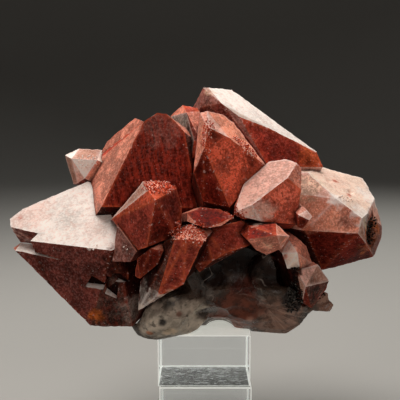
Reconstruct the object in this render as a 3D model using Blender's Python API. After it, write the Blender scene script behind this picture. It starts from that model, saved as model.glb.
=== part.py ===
"""Hematoid quartz on matrix: red quartz crystals grown together on a clear quartz base, on an acrylic stand.

Everything is in metres with +Z up. The origin is the centre of the stand's foot, on the surface it stands on,
+X runs along the longest side of the stone and -Y is its show side. Sizes are written in millimetres.
"""

import math
from typing import NamedTuple

import bmesh
import bpy
from mathutils import Matrix, Vector

MM = 0.001

# Driving dimensions, in millimetres.
BLOCK_SIDE = 32.0  # a stand block seen from above is square
BLOCK_HEIGHT = 18.35
BLOCK_EDGE = 0.35  # bevel on the polished edges
GAP = 0.3  # left between pieces that touch
UPPER_BLOCK_SHIFT = -0.5  # the upper block and the stone sit a little off the lower block
STAND_TOP = 2.0 * BLOCK_HEIGHT + GAP
SEAT_DEPTH = 27.0  # how deep under the top of the stand the base is cut away
STONE_SHIFT = Vector((UPPER_BLOCK_SHIFT, 0.0, 0.0))

# Quartz: the six cap faces lean this far from the long axis, and opposite prism faces are parallel.
CAP_LEAN = math.radians(38.2)


class Crystal(NamedTuple):
    """One crystal with its corners where they were measured, in millimetres from the stand's axis.

    back is how far, and in which direction, the crystal runs on from those corners into the cluster.
    """

    name: str
    corners: tuple
    back: tuple = (0.0, 0.0, 0.0)


class Point(NamedTuple):
    """One regular quartz point: a six-sided prism along the line from root to tip, under a six-sided cap."""

    name: str
    root: tuple
    tip: tuple
    radius: float
    roll: float = 0.0
    small_face: float = 0.72  # how far out the three lesser cap faces lie, against the three greater ones


CRYSTALS = (
    # The long crystal that reaches out to the left, with two more tips grown parallel to it.
    Crystal(
        "left point",
        corners=(
            (-57, -23.8, 71.2), (-40.5, -6, 89), (-28.5, -24, 77), (-27.5, -32.5, 70.5), (-29.4, -33.1, 69.8),
            (-38.1, -22.1, 42.2), (-51.4, -21.3, 55.7), (-33, -20, 41), (-24, -21, 41.5),
            (-20, 6, 84), (-30, 6, 46), (-50, -4, 66), (-14, -16, 62), (-18, -4, 44),
        ),
    ),
    Crystal(
        "left upper tip",
        corners=(
            (-65.7, -14.9, 77.2), (-62, -12, 80.2), (-64.9, -17.9, 74.8), (-53.1, -9.4, 84), (-40.5, -6, 89),
            (-53.5, -22.2, 73.2), (-63, -12, 68.5), (-52, -2, 70), (-30, 0, 84), (-34, -12, 66),
        ),
    ),
    Crystal(
        "left lower tip",
        corners=(
            (-62.7, -21, 67.4), (-46.4, -25.4, 65.1), (-51.5, -21.3, 55.9), (-64.3, -17, 67.6),
            (-62.3, -14.5, 69.1), (-58.3, -16, 68.8), (-44, -12, 62),
        ),
    ),
    Crystal(
        "left side",
        corners=(
            (-27.5, -34, 78), (-24, -36, 74.5), (-21, -39, 70.5), (-23, -38, 67), (-29, -34, 66.5),
        ),
        back=(6, 14, 0),
    ),
    Crystal(
        "left back point",
        corners=(
            (-49, -2, 98), (-44.5, 2, 100), (-41, 3, 99), (-37, 5, 99.5), (-37, -6, 96.5), (-41.5, -6, 90),
            (-44.5, -3, 88), (-46.5, 0, 87.5), (-46, -6, 97),
        ),
        back=(24, 12, -12),
    ),
    # The tall crystal left of the middle, and the thin plate grown against its left face.
    Crystal(
        "tall left point",
        corners=(
            (-15.5, -17, 113), (-12.5, -16.5, 112.5), (-20, -18, 110), (-33.5, -24, 82.5), (-9, -16.5, 109.5),
            (-6.5, -16.5, 106.5), (-5.5, -17, 101.5), (-4, -18, 93.5), (-2.5, -19, 81.5),
            (-35.5, 1, 99), (-42.5, 4, 92), (-40, -8, 83), (-36.5, -19, 78.5), (-30.5, -20, 79),
        ),
        back=(16, 16, -12),
    ),
    Crystal(
        "tall left plate",
        corners=((-24, -5, 111), (-20.5, -11, 110), (-36.5, 4, 99.5), (-35, 5, 102.5), (-37, 2, 97)),
        back=(8, 6, -6),
    ),
    # The point that faces forward, left of the middle.
    Crystal(
        "front point",
        corners=(
            (-14.5, -47, 87.5), (-17.5, -42, 72.5), (-8.5, -41, 76), (-20.5, -39, 71), (-29.5, -31, 79.5),
            (-24.5, -32, 85), (-19, -36, 92), (-17, -43.5, 90), (-11.5, -36, 92), (-8.5, -36, 90),
            (-7, -36, 84.5), (-7, -37, 79),
        ),
        back=(-3, 20, -4),
    ),
    # The middle crystal, and the one behind its left shoulder.
    Crystal(
        "middle point",
        corners=(
            (1, -27, 108.5), (8, -25, 105), (19, -22, 96.5), (20.5, -21.5, 95.5), (12.5, -25.5, 90),
            (8, -28.5, 83), (2.5, -28.5, 95.5), (0, -28.5, 102), (1, -20, 113.5), (6, -16, 112.5),
            (10, -14, 109.5), (-3.5, -25, 94), (-0.5, -26, 84.5), (-1.5, -20, 113),
        ),
        back=(-2, 18, -14),
    ),
    Crystal(
        "middle back point",
        corners=(
            (-7.5, -3, 115.5), (-2.5, -2, 114.5), (-6, -9, 113), (-1.5, -7, 113.5), (-12, 1, 111.5),
            (-3.5, -16, 104), (-4.5, -16, 97), (-0.5, -20, 102),
        ),
        back=(4, 14, -22),
    ),
    # The long blade along the top, behind.
    Crystal(
        "back blade",
        corners=(
            (-0.5, 0, 121.5), (1.5, -1, 121.5), (6, -8, 116), (12, -9, 111.5), (22.5, -8, 107.5),
            (31.5, -6, 103), (39.5, -3, 99), (10, 7, 121), (20, 4, 112.5), (32.5, 2, 104), (40, 1, 99),
            (-1.5, -2, 114.5), (41.5, -5, 94), (22, -11, 94.5),
        ),
        back=(-8, 10, -16),
    ),
    # The crystals right of the middle.
    Crystal(
        "right middle point",
        corners=(
            (10, -34.5, 82.5), (10, -32, 84.5), (12.5, -26, 90), (21, -21, 97), (26, -21.5, 98),
            (30, -24.5, 97), (26.5, -29, 92.5), (15, -34, 84.5), (31.5, -24, 95), (31, -28, 88.5),
            (29.5, -29, 77.5), (18, -33, 79), (12.5, -34, 80.5),
        ),
        back=(-2, 20, -6),
    ),
    Crystal(
        "right point",
        corners=(
            (35.5, -10, 92.5), (44, -19, 84.5), (52, -22, 78.5), (42, 2, 93.5), (48.5, 4, 91), (58, 6, 89),
            (59.5, -6, 83), (50.5, -23, 73.5), (33.5, -20, 74), (33, -16, 82), (34, -10, 92), (54.5, -18, 79.5),
            (63, -4, 73), (63, -4, 69.5), (60.5, -7, 64.5), (59, -9, 63), (46, -10, 59.5),
            (41, -10, 58.5), (54.5, -18, 69), (54, 14, 70),
        ),
        back=(-22, 8, 2),
    ),
    Crystal(
        "right wedge",
        corners=(
            (31, -29, 83.5), (32.5, -31, 82.5), (34, -32, 80.5), (33, -34, 79.5), (29, -35, 81.5),
            (31, -32, 76.5), (29.5, -32, 77),
        ),
        back=(0, 8, 0),
    ),
    # The lesser crystals across the front.
    Crystal(
        "small middle point",
        corners=(
            (9, -36, 81), (-5.5, -34, 82), (-1, -32, 83.5), (5, -33, 83), (5.5, -38, 78.5), (1.5, -39, 78),
            (-2, -38, 78.5), (-5.5, -36, 79.5),
        ),
        back=(-2, 12, -2),
    ),
    Crystal(
        "sugared point",
        corners=(
            (-9, -46, 75.5), (-4.5, -38, 78.5), (0, -38, 76), (0, -42, 74.5), (-5.5, -47, 76),
            (-12, -42, 74.5), (-1, -44, 73), (-21.5, -31, 49.5), (-20.5, -32, 59.5), (-15, -36, 55.5),
            (-6.5, -38, 60),
        ),
        back=(4, 14, 2),
    ),
    Crystal(
        "small left point",
        corners=(
            (-16.5, -41, 72), (-14, -40, 73), (-13, -41, 73), (-12.5, -43, 71.5), (-14.5, -42, 67),
            (-20, -39, 62), (-22, -35, 62), (-21, -37, 68),
        ),
        back=(3, 12, 0),
    ),
    Crystal(
        "red band",
        corners=(
            (-0.5, -32, 76.5), (11.5, -31, 79), (15, -32, 77.5), (14.5, -35, 72), (6.5, -36, 69.5),
            (2.5, -36, 67), (-1.5, -34, 63), (-3.5, -33, 65),
        ),
        back=(0, 16, 4),
    ),
    Crystal(
        "pale middle point",
        corners=(
            (26.5, -37, 75), (14, -35, 78), (18.5, -33, 78), (22.5, -33, 78.5), (24, -35, 70.5),
            (19.5, -34, 68.5), (16, -36, 70.5), (13, -40, 74.5), (22, -41, 76),
        ),
        back=(-4, 14, 2),
    ),
    Crystal(
        "lower right upper point",
        corners=(
            (27.5, -27, 72), (31, -26, 72), (33.5, -24, 69.5), (35.5, -24, 64), (31, -29, 62.5),
            (26.5, -31, 63.5), (25, -28, 68), (29.5, -32, 69),
        ),
        back=(-4, 14, 2),
    ),
    Crystal(
        "lower right point",
        corners=(
            (29.5, -30, 63), (37.5, -24, 63.5), (41.5, -23, 57.5), (32.5, -31, 57.5), (32, -28, 52),
            (35.5, -24, 48.5), (40.5, -22, 54.5),
        ),
        back=(-8, 12, 2),
    ),
)

# Narrow re-entrant steps on the front of the left point: each has a floor that shows as a thin ledge.
NOTCHES = (
    Crystal(
        "first step",
        corners=((-39, -28, 56), (-36.5, -28, 60.5), (-32, -29, 58), (-33, -29, 55.5)),
        back=(0.4, 4.6, 1.2),
    ),
    Crystal(
        "second step",
        corners=((-33, -29, 55), (-31.5, -30, 61), (-28, -30, 57.5), (-29, -29, 51.5), (-32.5, -28, 54)),
        back=(0.4, 4.6, 1.3),
    ),
    Crystal(
        "third step",
        corners=((-30.5, -32, 58.5), (-29.5, -32, 61), (-23.5, -34, 60.5), (-24.5, -33, 57)),
        back=(0, 6.5, 1.3),
    ),
    Crystal(
        "lip of the lower tip",
        corners=((-55.5, -23.6, 66.2), (-46.6, -26.4, 65.1), (-55.4, -23.9, 67.2)),
        back=(0.1, 2.8, 0.75),
    ),
)

# The back of the cluster: regular points that fan out from the middle of the stone.
POINTS = (
    Point("back left point", root=(-8, 4, 70), tip=(-42, 34, 84), radius=11, roll=14),
    Point("back top point", root=(2, 2, 76), tip=(-8, 24, 112), radius=10.5, roll=40, small_face=0.8),
    Point("back right point", root=(8, 2, 72), tip=(38, 36, 92), radius=12, roll=5),
    Point("back middle point", root=(0, 2, 68), tip=(6, 42, 74), radius=10.5, roll=22, small_face=0.85),
    Point("back low left point", root=(-6, 2, 62), tip=(-30, 28, 56), radius=8.5, roll=50),
    Point("back low right point", root=(10, 2, 62), tip=(30, 30, 60), radius=8, roll=30),
    Point("right under point", root=(14, 0, 70), tip=(52, 20, 62), radius=9.5, roll=12),
)


class Scoop(NamedTuple):
    """A shell-shaped hollow where a flake broke away, in millimetres: its centre and its half sizes."""

    centre: tuple
    half: tuple


# The clear quartz base: broken masses joined in one solid, then hollowed where flakes came off.
MASSES = (
    Crystal(
        "heart",
        corners=(
            (-2.5, -25, 60), (13.5, -24, 68), (28.5, -20, 63.5), (34.5, -16, 54.5), (0.5, -24, 51.5),
            (15, -24, 51.5), (2.5, -13, 41.5), (8.5, -12, 40), (17.5, -16, 41.5), (-12, -18, 62), (-14, -8, 50),
        ),
        back=(-2, 34, 2),
    ),
    Crystal(
        "left lobe",
        corners=(
            (-25, -16, 40), (-23.5, -16, 44.5), (-15.5, -22, 50.5), (-4.5, -24, 53), (2, -22, 52),
            (3, -20, 46.5), (1.5, -16, 41), (-5, -16, 37.5), (-16, -17, 35.5), (-20, -17, 36),
            (-23, -16, 37), (-14.5, -26, 47), (-4, -26.5, 49), (-9.5, -23, 41), (-18, -23, 41),
        ),
        back=(3, 20, 3),
    ),
    Crystal(
        "right lobe",
        corners=(
            (13, -25, 51), (17.5, -25, 57), (28.5, -24, 57), (33, -22, 51.5), (36.5, -18, 45.5),
            (33, -16, 40.5), (28.5, -13, 36.5), (22.5, -12, 38.5), (16.5, -8, 36), (12, -7, 36),
            (8.5, -9, 39.5), (19, -28, 50), (26.5, -28, 50), (15.5, -22, 46),
        ),
        back=(-4, 18, 3),
    ),
    Crystal(
        "dark knob",
        corners=((27, -29, 57.5), (31, -27, 55), (32.5, -24, 47.5), (29, -26, 47.5), (26, -29, 52.5)),
        back=(-2, 10, 0),
    ),
    Crystal(
        "clear chip",
        corners=((45, -18, 49), (36, -18, 46), (43, -18, 45.5), (41.5, -18, 54), (36, -17, 53), (34, -18, 47)),
        back=(-4, 9, 0),
    ),
    Crystal(
        "back lobe",
        corners=(
            (-16, 12, 42), (-8, 22, 44), (8, 25, 43), (20, 17, 44), (24, 8, 48), (-18, 8, 50), (-6, 24, 54),
            (14, 24, 56), (-8, 10, 36), (14, 10, 36), (-6, -4, 36), (13, -4, 36), (0, 14, 38),
        ),
        back=(3, -6, 5),
    ),
)
SCOOPS = (
    Scoop((5, -38, 61), (17, 16, 10)),
    Scoop((-9, -43, 56), (13, 18, 9)),
    Scoop((7, -34, 47), (8, 12, 8)),
    Scoop((17, -35, 57), (6.5, 11, 9)),
    Scoop((23, -36, 53), (5, 11, 12)),
    Scoop((24, -33, 42), (7, 12, 7)),
    Scoop((5.5, -20, 36.5), (6.5, 22, 5)),
    Scoop((-12, -31, 40), (8, 8, 6)),
    Scoop((-24, -26, 47), (6, 9, 5)),
    Scoop((28, 18, 46), (10, 12, 9)),
    Scoop((-20, 20, 47), (11, 11, 8)),
    Scoop((2, 32, 50), (12, 9, 8)),
    Scoop((4, 18, 35), (6, 16, 6)),
)
SCOOP_DETAIL = 3


def clear_scene():
    """Removes whatever the file opened with."""
    for thing in list(bpy.data.objects):
        bpy.data.objects.remove(thing, do_unlink=True)


def new_material(name, colour, roughness, metallic=0.0):
    """Makes one Principled material from linear colour values."""
    material = bpy.data.materials.new(name)
    material.use_nodes = True
    shader = material.node_tree.nodes["Principled BSDF"]
    shader.inputs["Base Color"].default_value = (*colour, 1.0)
    shader.inputs["Roughness"].default_value = roughness
    shader.inputs["Metallic"].default_value = metallic
    material.diffuse_color = (*colour, 1.0)
    return material


def new_object(name, bm, collection, material=None):
    """Turns a bmesh into an object of the collection, with its faces turned outwards."""
    bmesh.ops.recalc_face_normals(bm, faces=bm.faces)
    mesh = bpy.data.meshes.new(name)
    bm.to_mesh(mesh)
    bm.free()
    thing = bpy.data.objects.new(name, mesh)
    collection.objects.link(thing)
    if material:
        mesh.materials.append(material)
    return thing


def guide_collection(name):
    """Makes a collection for the shapes that a Boolean reads; they are no parts themselves."""
    collection = bpy.data.collections.new(name)
    bpy.context.scene.collection.children.link(collection)
    return collection


def as_guide(thing):
    """Marks an object as a shape that only Booleans use."""
    thing.hide_render = True
    thing.display_type = "WIRE"
    return thing


def hull(points, grow=0.0):
    """Returns the closed convex solid around the points, in metres, made larger all round by grow."""
    steps = (-grow, grow) if grow else (0.0,)
    bm = bmesh.new()
    for point in points:
        for x in steps:
            for y in steps:
                for z in steps:
                    bm.verts.new((Vector(point) + Vector((x, y, z))) * MM)
    result = bmesh.ops.convex_hull(bm, input=bm.verts)
    inside = {item for item in result["geom_interior"] if isinstance(item, bmesh.types.BMVert)}
    inside |= {item for item in result["geom_unused"] if isinstance(item, bmesh.types.BMVert)}
    bmesh.ops.delete(bm, geom=list(inside), context="VERTS")
    return bm


def crystal_corners(crystal):
    """Lists all corners of a measured crystal: those seen, and the same ones carried back into the cluster."""
    seen = [Vector(corner) for corner in crystal.corners]
    return seen + [corner + Vector(crystal.back) for corner in seen]


def point_corners(point):
    """Lists all corners of a regular quartz point: its tip edge, its shoulders and its foot."""
    tip, root = Vector(point.tip), Vector(point.root)
    along = (tip - root).normalized()
    across = along.cross(Vector((0.0, 0.0, 1.0))).normalized()
    across.rotate(Matrix.Rotation(math.radians(point.roll), 3, along))
    upward = along.cross(across)
    cap = point.radius / math.tan(CAP_LEAN) / math.cos(math.radians(30.0))
    corners = [tip]
    for side in range(6):
        angle = math.radians(60.0 * side)
        spoke = across * math.cos(angle) + upward * math.sin(angle)
        drop = cap * (1.0 if side % 2 else point.small_face)
        corners.append(tip - along * drop + spoke * point.radius)
        corners.append(root + spoke * point.radius)
    return corners


def scoop(shape, collection, name):
    """Adds an ellipsoid that hollows the base."""
    bm = bmesh.new()
    bmesh.ops.create_icosphere(bm, subdivisions=SCOOP_DETAIL, radius=1.0)
    bmesh.ops.scale(bm, vec=Vector(shape.half) * MM, verts=bm.verts)
    bmesh.ops.translate(bm, vec=Vector(shape.centre) * MM, verts=bm.verts)
    return as_guide(new_object(name, bm, collection))


def boolean(thing, operation, operand):
    """Adds one exact Boolean of the object with all objects of a collection."""
    modifier = thing.modifiers.new(operand.name, "BOOLEAN")
    modifier.operation = operation
    modifier.operand_type = "COLLECTION"
    modifier.collection = operand
    modifier.solver = "EXACT"
    return modifier


def build_crystals(parts):
    """Joins all crystals in one solid."""
    red = new_material("hematoid quartz", (0.30, 0.045, 0.022), 0.42)
    grown = guide_collection("crystals grown together")
    shapes = [(crystal.name, crystal_corners(crystal)) for crystal in CRYSTALS]
    shapes += [(point.name, point_corners(point)) for point in POINTS]
    core_name, core_corners = shapes[0]
    cluster = new_object("crystal_cluster", hull(core_corners), parts, red)
    for name, corners in shapes[1:]:
        as_guide(new_object(name, hull(corners), grown))
    boolean(cluster, "UNION", grown)
    steps = guide_collection("steps")
    for notch in NOTCHES:
        as_guide(new_object(notch.name, hull(crystal_corners(notch)), steps)).parent = cluster
    boolean(cluster, "DIFFERENCE", steps)
    cluster.location = STONE_SHIFT * MM
    for guide in grown.objects:
        guide.parent = cluster
    return shapes


def build_matrix(parts, shapes):
    """Builds the broken base and cuts the room for the crystals and the stand out of it."""
    clear = new_material("smoky clear quartz", (0.36, 0.27, 0.22), 0.18)
    masses = guide_collection("masses of the base")
    scoops = guide_collection("flakes broken from the base")
    room = guide_collection("room for the crystals and the stand")
    base = new_object("quartz_matrix", hull(crystal_corners(MASSES[0])), parts, clear)
    for mass in MASSES[1:]:
        as_guide(new_object(mass.name, hull(crystal_corners(mass)), masses)).parent = base
    for number, shape in enumerate(SCOOPS):
        scoop(shape, scoops, f"scoop {number}").parent = base
    for name, corners in shapes:
        as_guide(new_object("room for " + name, hull(corners, GAP), room)).parent = base
    half = BLOCK_SIDE / 2.0
    seat = [(x, y, z) for x in (-half, half) for y in (-half, half) for z in (STAND_TOP - SEAT_DEPTH, STAND_TOP)]
    as_guide(new_object("room for the stand", hull(seat, GAP), room)).parent = base
    boolean(base, "UNION", masses)
    boolean(base, "DIFFERENCE", scoops)
    boolean(base, "DIFFERENCE", room)
    base.location = STONE_SHIFT * MM


def build_stand(parts):
    """Stacks the two acrylic blocks."""
    acrylic = new_material("clear acrylic", (0.86, 0.89, 0.92), 0.05)
    levels = (("stand_lower_block", 0.0, 0.0), ("stand_upper_block", UPPER_BLOCK_SHIFT, BLOCK_HEIGHT + GAP))
    for name, shift, foot in levels:
        bm = bmesh.new()
        bmesh.ops.create_cube(bm, size=1.0)
        bmesh.ops.scale(bm, vec=Vector((BLOCK_SIDE, BLOCK_SIDE, BLOCK_HEIGHT)) * MM, verts=bm.verts)
        block = new_object(name, bm, parts, acrylic)
        block.location = Vector((shift, 0.0, foot + BLOCK_HEIGHT / 2.0)) * MM
        edge = block.modifiers.new("polished edges", "BEVEL")
        edge.width = BLOCK_EDGE * MM
        edge.segments = 2
        edge.limit_method = "ANGLE"


def main():
    """Builds the whole object."""
    clear_scene()
    parts = bpy.context.scene.collection
    shapes = build_crystals(parts)
    build_matrix(parts, shapes)
    build_stand(parts)


main()
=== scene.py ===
"""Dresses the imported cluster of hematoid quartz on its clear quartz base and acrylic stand."""

import logging
import math
from dataclasses import dataclass, field
from enum import Enum

import bmesh
import bpy
import numpy as np
from mathutils import Euler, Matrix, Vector, noise
from mathutils.kdtree import KDTree


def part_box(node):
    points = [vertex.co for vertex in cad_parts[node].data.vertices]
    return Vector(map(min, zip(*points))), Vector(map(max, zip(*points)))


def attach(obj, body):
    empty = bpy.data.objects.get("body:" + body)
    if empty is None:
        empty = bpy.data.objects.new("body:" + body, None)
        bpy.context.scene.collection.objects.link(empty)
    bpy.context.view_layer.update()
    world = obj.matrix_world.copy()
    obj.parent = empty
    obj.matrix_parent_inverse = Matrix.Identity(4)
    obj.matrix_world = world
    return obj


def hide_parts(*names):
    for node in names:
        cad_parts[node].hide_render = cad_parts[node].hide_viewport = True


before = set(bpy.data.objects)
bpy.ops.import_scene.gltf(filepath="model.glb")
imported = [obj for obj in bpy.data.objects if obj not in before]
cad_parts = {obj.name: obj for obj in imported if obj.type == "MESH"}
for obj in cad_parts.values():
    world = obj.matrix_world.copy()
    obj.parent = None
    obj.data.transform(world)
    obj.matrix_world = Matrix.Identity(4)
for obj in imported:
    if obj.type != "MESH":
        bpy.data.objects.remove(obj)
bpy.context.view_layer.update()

LOG = logging.getLogger("hematoid_quartz")
MM = 0.001
BODY = "root"
Place = tuple[float, float, float]


# ---------------------------------------------------------------- colours and nodes


def linear(code: str) -> tuple[float, float, float, float]:
    """Turns an sRGB hex value into linear colour.

    Args:
        code: six hex digits.

    Returns:
        Linear red, green, blue and an alpha of one.
    """
    parts = [int(code[i : i + 2], 16) / 255.0 for i in (0, 2, 4)]
    return (*(p / 12.92 if p <= 0.04045 else ((p + 0.055) / 1.055) ** 2.4 for p in parts), 1.0)


def feed(node: bpy.types.Node, inputs: dict[object, object]) -> None:
    """Feeds a node's inputs.

    Args:
        node: the node.
        inputs: for each input, by name or number, an amount, an output socket or a plain value.
    """
    for name, value in inputs.items():
        source = getattr(value, "socket", value)
        if isinstance(source, bpy.types.NodeSocket):
            node.id_data.links.new(source, node.inputs[name])
        else:
            node.inputs[name].default_value = source


def add_node(
    tree: bpy.types.NodeTree, kind: str, inputs: dict[object, object] | None = None, **settings: object
) -> bpy.types.Node:
    """Adds one node with its settings and what feeds it.

    Args:
        tree: the node tree that gets the node.
        kind: the node's type name.
        inputs: what feeds each input, as for feed.
        settings: attributes of the node, such as operation.

    Returns:
        The new node.
    """
    node = tree.nodes.new(kind)
    for name, value in settings.items():
        setattr(node, name, value)
    feed(node, inputs or {})
    return node


def new_shader(name: str) -> tuple[bpy.types.Material, bpy.types.NodeTree, bpy.types.Node]:
    """Starts a material.

    Args:
        name: the material's name.

    Returns:
        The material, its tree and its Principled shader.
    """
    material = bpy.data.materials.new(name)
    material.use_nodes = True
    tree = material.node_tree
    return material, tree, tree.nodes["Principled BSDF"]


class Amount:
    """How strongly something shows over a surface. Signs join amounts, each result held from 0 to 1."""

    def __init__(self, socket: bpy.types.NodeSocket) -> None:
        """Keeps the socket that carries the amount."""
        self.socket = socket

    def joined(self, operation: str, first: object, second: object) -> "Amount":
        """Joins two amounts or numbers by one arithmetic operation.

        Args:
            operation: the Math node's operation.
            first: an amount or a number.
            second: another.

        Returns:
            The result.
        """
        pair = {0: first, 1: second}
        node = add_node(self.socket.id_data, "ShaderNodeMath", pair, operation=operation, use_clamp=True)
        return Amount(node.outputs[0])

    def __add__(self, other: object) -> "Amount":
        """Adds another amount or a number."""
        return self.joined("ADD", self, other)

    def __sub__(self, other: object) -> "Amount":
        """Takes another amount or a number away."""
        return self.joined("SUBTRACT", self, other)

    def __rsub__(self, other: float) -> "Amount":
        """Takes this amount away from a number."""
        return self.joined("SUBTRACT", other, self)

    def __mul__(self, other: object) -> "Amount":
        """Scales by another amount or a number."""
        return self.joined("MULTIPLY", self, other)

    def __pow__(self, other: float) -> "Amount":
        """Raises to a power, which pushes low amounts down."""
        return self.joined("POWER", self, other)


def grain(
    tree: bpy.types.NodeTree,
    size_mm: float,
    low: float,
    high: float,
    stretch: Place = (1.0, 1.0, 1.0),
    turn: Place = (0.0, 0.0, 0.0),
    detail: float = 4.0,
) -> Amount:
    """Adds a clouded pattern on Object coordinates, cut to run from zero to one.

    Args:
        tree: the material's tree.
        size_mm: the size of one cloud, in millimetres.
        low: pattern value that becomes zero.
        high: pattern value that becomes one.
        stretch: how many times longer than size_mm a cloud is along each axis.
        turn: rotation of the pattern in radians.
        detail: how many finer octaves it has.

    Returns:
        The pattern.
    """
    place = add_node(tree, "ShaderNodeTexCoord").outputs["Object"]
    squeeze = tuple(1.0 / s for s in stretch)
    for moved in ({"Rotation": turn}, {"Scale": squeeze}):
        mapping = add_node(tree, "ShaderNodeMapping", {"Vector": place, **moved}, vector_type="POINT")
        place = mapping.outputs["Vector"]
    clouded = {"Vector": place, "Scale": 1.0 / (size_mm * MM), "Detail": detail, "Roughness": 0.6}
    cloud = add_node(tree, "ShaderNodeTexNoise", clouded)
    cut = {"Value": cloud.outputs["Fac"], "From Min": low, "From Max": high}
    return Amount(add_node(tree, "ShaderNodeMapRange", cut, clamp=True).outputs["Result"])


def painted(tree: bpy.types.NodeTree, name: str) -> tuple[bpy.types.NodeSocket, list[Amount]]:
    """Reads a colour attribute of the mesh.

    Args:
        tree: the material's tree.
        name: the attribute's name.

    Returns:
        Its colour, and its red, green, blue and alpha as amounts.
    """
    source = add_node(tree, "ShaderNodeAttribute", attribute_name=name)
    colour = source.outputs["Color"]
    parts = add_node(tree, "ShaderNodeSeparateColor", {0: colour})
    return colour, [Amount(socket) for socket in (*parts.outputs, source.outputs["Alpha"])]


def layered(tree: bpy.types.NodeTree, ground: object, *layers: tuple) -> bpy.types.NodeSocket:
    """Lays colours over a ground, each over all that come before it.

    Args:
        tree: the material's tree.
        ground: the colour at the bottom, as a hex value or a socket.
        layers: for each, how much of it shows, its colour and, where it doesn't just cover, its blend.

    Returns:
        The socket that carries the colour.
    """
    for amount, cover, *rest in layers:
        under, over = (linear(colour) if isinstance(colour, str) else colour for colour in (ground, cover))
        blend = rest[0] if rest else "MIX"
        inputs = {0: amount, 6: under, 7: over}
        ground = add_node(tree, "ShaderNodeMix", inputs, data_type="RGBA", blend_type=blend).outputs[2]
    return ground


# ---------------------------------------------------------------- finishes


class Tint(Enum):
    """The colours that hematoid quartz takes, from iron oxide that lies deep, shallow or not at all.
    SNOW on upward faces is partly painted sheen of the light above, and PITCH, in recesses, undersides and
    hollows, is painted shade.
    """

    SNOW = "FBEEE5"
    SHELL = "FAD9C4"
    ROSE = "EDB2A0"
    CORAL = "EE987A"
    SALMON = "DB8D75"
    EMBER = "DC6A50"
    BRICK = "C8563C"
    GARNET = "A24033"
    RUBY = "8C372B"
    CRIMSON = "6A1208"
    WINE = "551C15"
    MAROON = "643029"
    OXIDE = "5A1A12"
    MAUVE = "86584F"
    CLAY = "B48672"
    UMBER = "4A342C"
    PITCH = "1D1310"
    RUST = "B05A1C"
    SAND = "E2C6A6"
    ASH = "6E665F"
    STONE = "BCAE9D"
    TAWNY = "8E6A5A"
    COCOA = "683626"


@dataclass(frozen=True)
class Finish:
    """How one crystal face looks.

    frost is how white the face is, partly a sugary white growth and partly painted sheen of the light above;
    streaks run down the face, blotches are dark, and glow is how far light shines through the face's ridges,
    painted as colour.
    """

    tint: Tint
    frost: float = 0.1
    streaks: float = 0.15
    blotches: float = 0.3
    glow: float = 0.5


# FROSTED, SNOWY and PEARLY are partly frost and partly painted sheen: they go on faces that catch the light
# above.
FROSTED = Finish(Tint.SNOW, frost=1.0, streaks=0.0, blotches=0.0, glow=0.0)
SNOWY = Finish(Tint.SNOW, frost=0.7, streaks=0.0, blotches=0.05, glow=0.0)
PEARLY = Finish(Tint.SHELL, frost=0.4, streaks=0.0, blotches=0.08, glow=0.0)
ROSY = Finish(Tint.ROSE, frost=0.2, streaks=0.05, blotches=0.15, glow=0.15)
CORAL = Finish(Tint.CORAL, frost=0.15, streaks=0.1, blotches=0.2, glow=0.4)
SALMON = Finish(Tint.SALMON, frost=0.1, streaks=0.15, blotches=0.15, glow=0.5)
EMBERED = Finish(Tint.EMBER, frost=0.07, streaks=0.1, blotches=0.35, glow=0.7)
BRICK = Finish(Tint.BRICK, frost=0.05, streaks=0.1, blotches=0.35, glow=0.7)
GARNET = Finish(Tint.GARNET, frost=0.03, streaks=0.15, blotches=0.3, glow=0.8)
RUBY = Finish(Tint.RUBY, frost=0.03, streaks=0.15, blotches=0.3, glow=0.8)
CRIMSON = Finish(Tint.CRIMSON, frost=0.0, streaks=0.1, blotches=0.3, glow=0.3)
WINE = Finish(Tint.WINE, frost=0.03, streaks=0.2, blotches=0.2)
STREAKED = Finish(Tint.WINE, frost=0.03, streaks=0.8, blotches=0.15, glow=0.7)
MAROON = Finish(Tint.MAROON, frost=0.05, streaks=0.1, blotches=0.2, glow=0.15)
OXIDE = Finish(Tint.OXIDE, frost=0.0, streaks=0.2, blotches=0.3, glow=0.25)
MAUVE = Finish(Tint.MAUVE, frost=0.1, streaks=0.15, blotches=0.35, glow=0.2)
CLAY = Finish(Tint.CLAY, frost=0.2, streaks=0.15, blotches=0.5, glow=0.3)
UMBER = Finish(Tint.UMBER, frost=0.05, streaks=0.3, blotches=0.4, glow=0.1)
# PITCH is painted shade, for faces and hollows that the light doesn't reach.
PITCH = Finish(Tint.PITCH, frost=0.0, streaks=0.1, blotches=0.0, glow=0.1)
SOOTY = Finish(Tint.ASH, frost=0.15, streaks=0.1, blotches=0.8, glow=0.2)


# Least upward lean of a face, least random shift, and the usual finish over that shift and under it.
# Faces are paler the more they face up, partly as painted sheen of the light above, and darker the more they
# face down, as painted shade.
COMMON_FINISHES = (
    (0.72, -0.1, SNOWY, PEARLY),
    (0.45, 0.0, ROSY, SALMON),
    (0.1, 0.0, BRICK, SALMON),
    (-0.25, 0.0, GARNET, WINE),
    (-2.0, 0.0, MAROON, OXIDE),
)


@dataclass(frozen=True)
class Patch:
    """A soft-edged round patch of another colour, in millimetres."""

    name: str
    at: Place
    radius: float
    tint: Tint
    strength: float = 0.8
    frost: float = 0.0

    def gap(self, places: np.ndarray) -> np.ndarray:
        """Returns how far places are from the middle, with one at the rim."""
        return np.linalg.norm(places - np.array(self.at), axis=1) / self.radius

    def cover(self, places: np.ndarray, wobble: np.ndarray, ragged: float, steep: float) -> np.ndarray:
        """Works out how much of the patch shows.

        Args:
            places: the places asked about.
            wobble: random height at each of them.
            ragged: how far that makes the rim wander.
            steep: how quickly the patch fades in from its rim.

        Returns:
            The amount at each place.
        """
        return np.clip((1.0 - self.gap(places) + ragged * wobble) * steep, 0.0, 1.0) * self.strength
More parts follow.
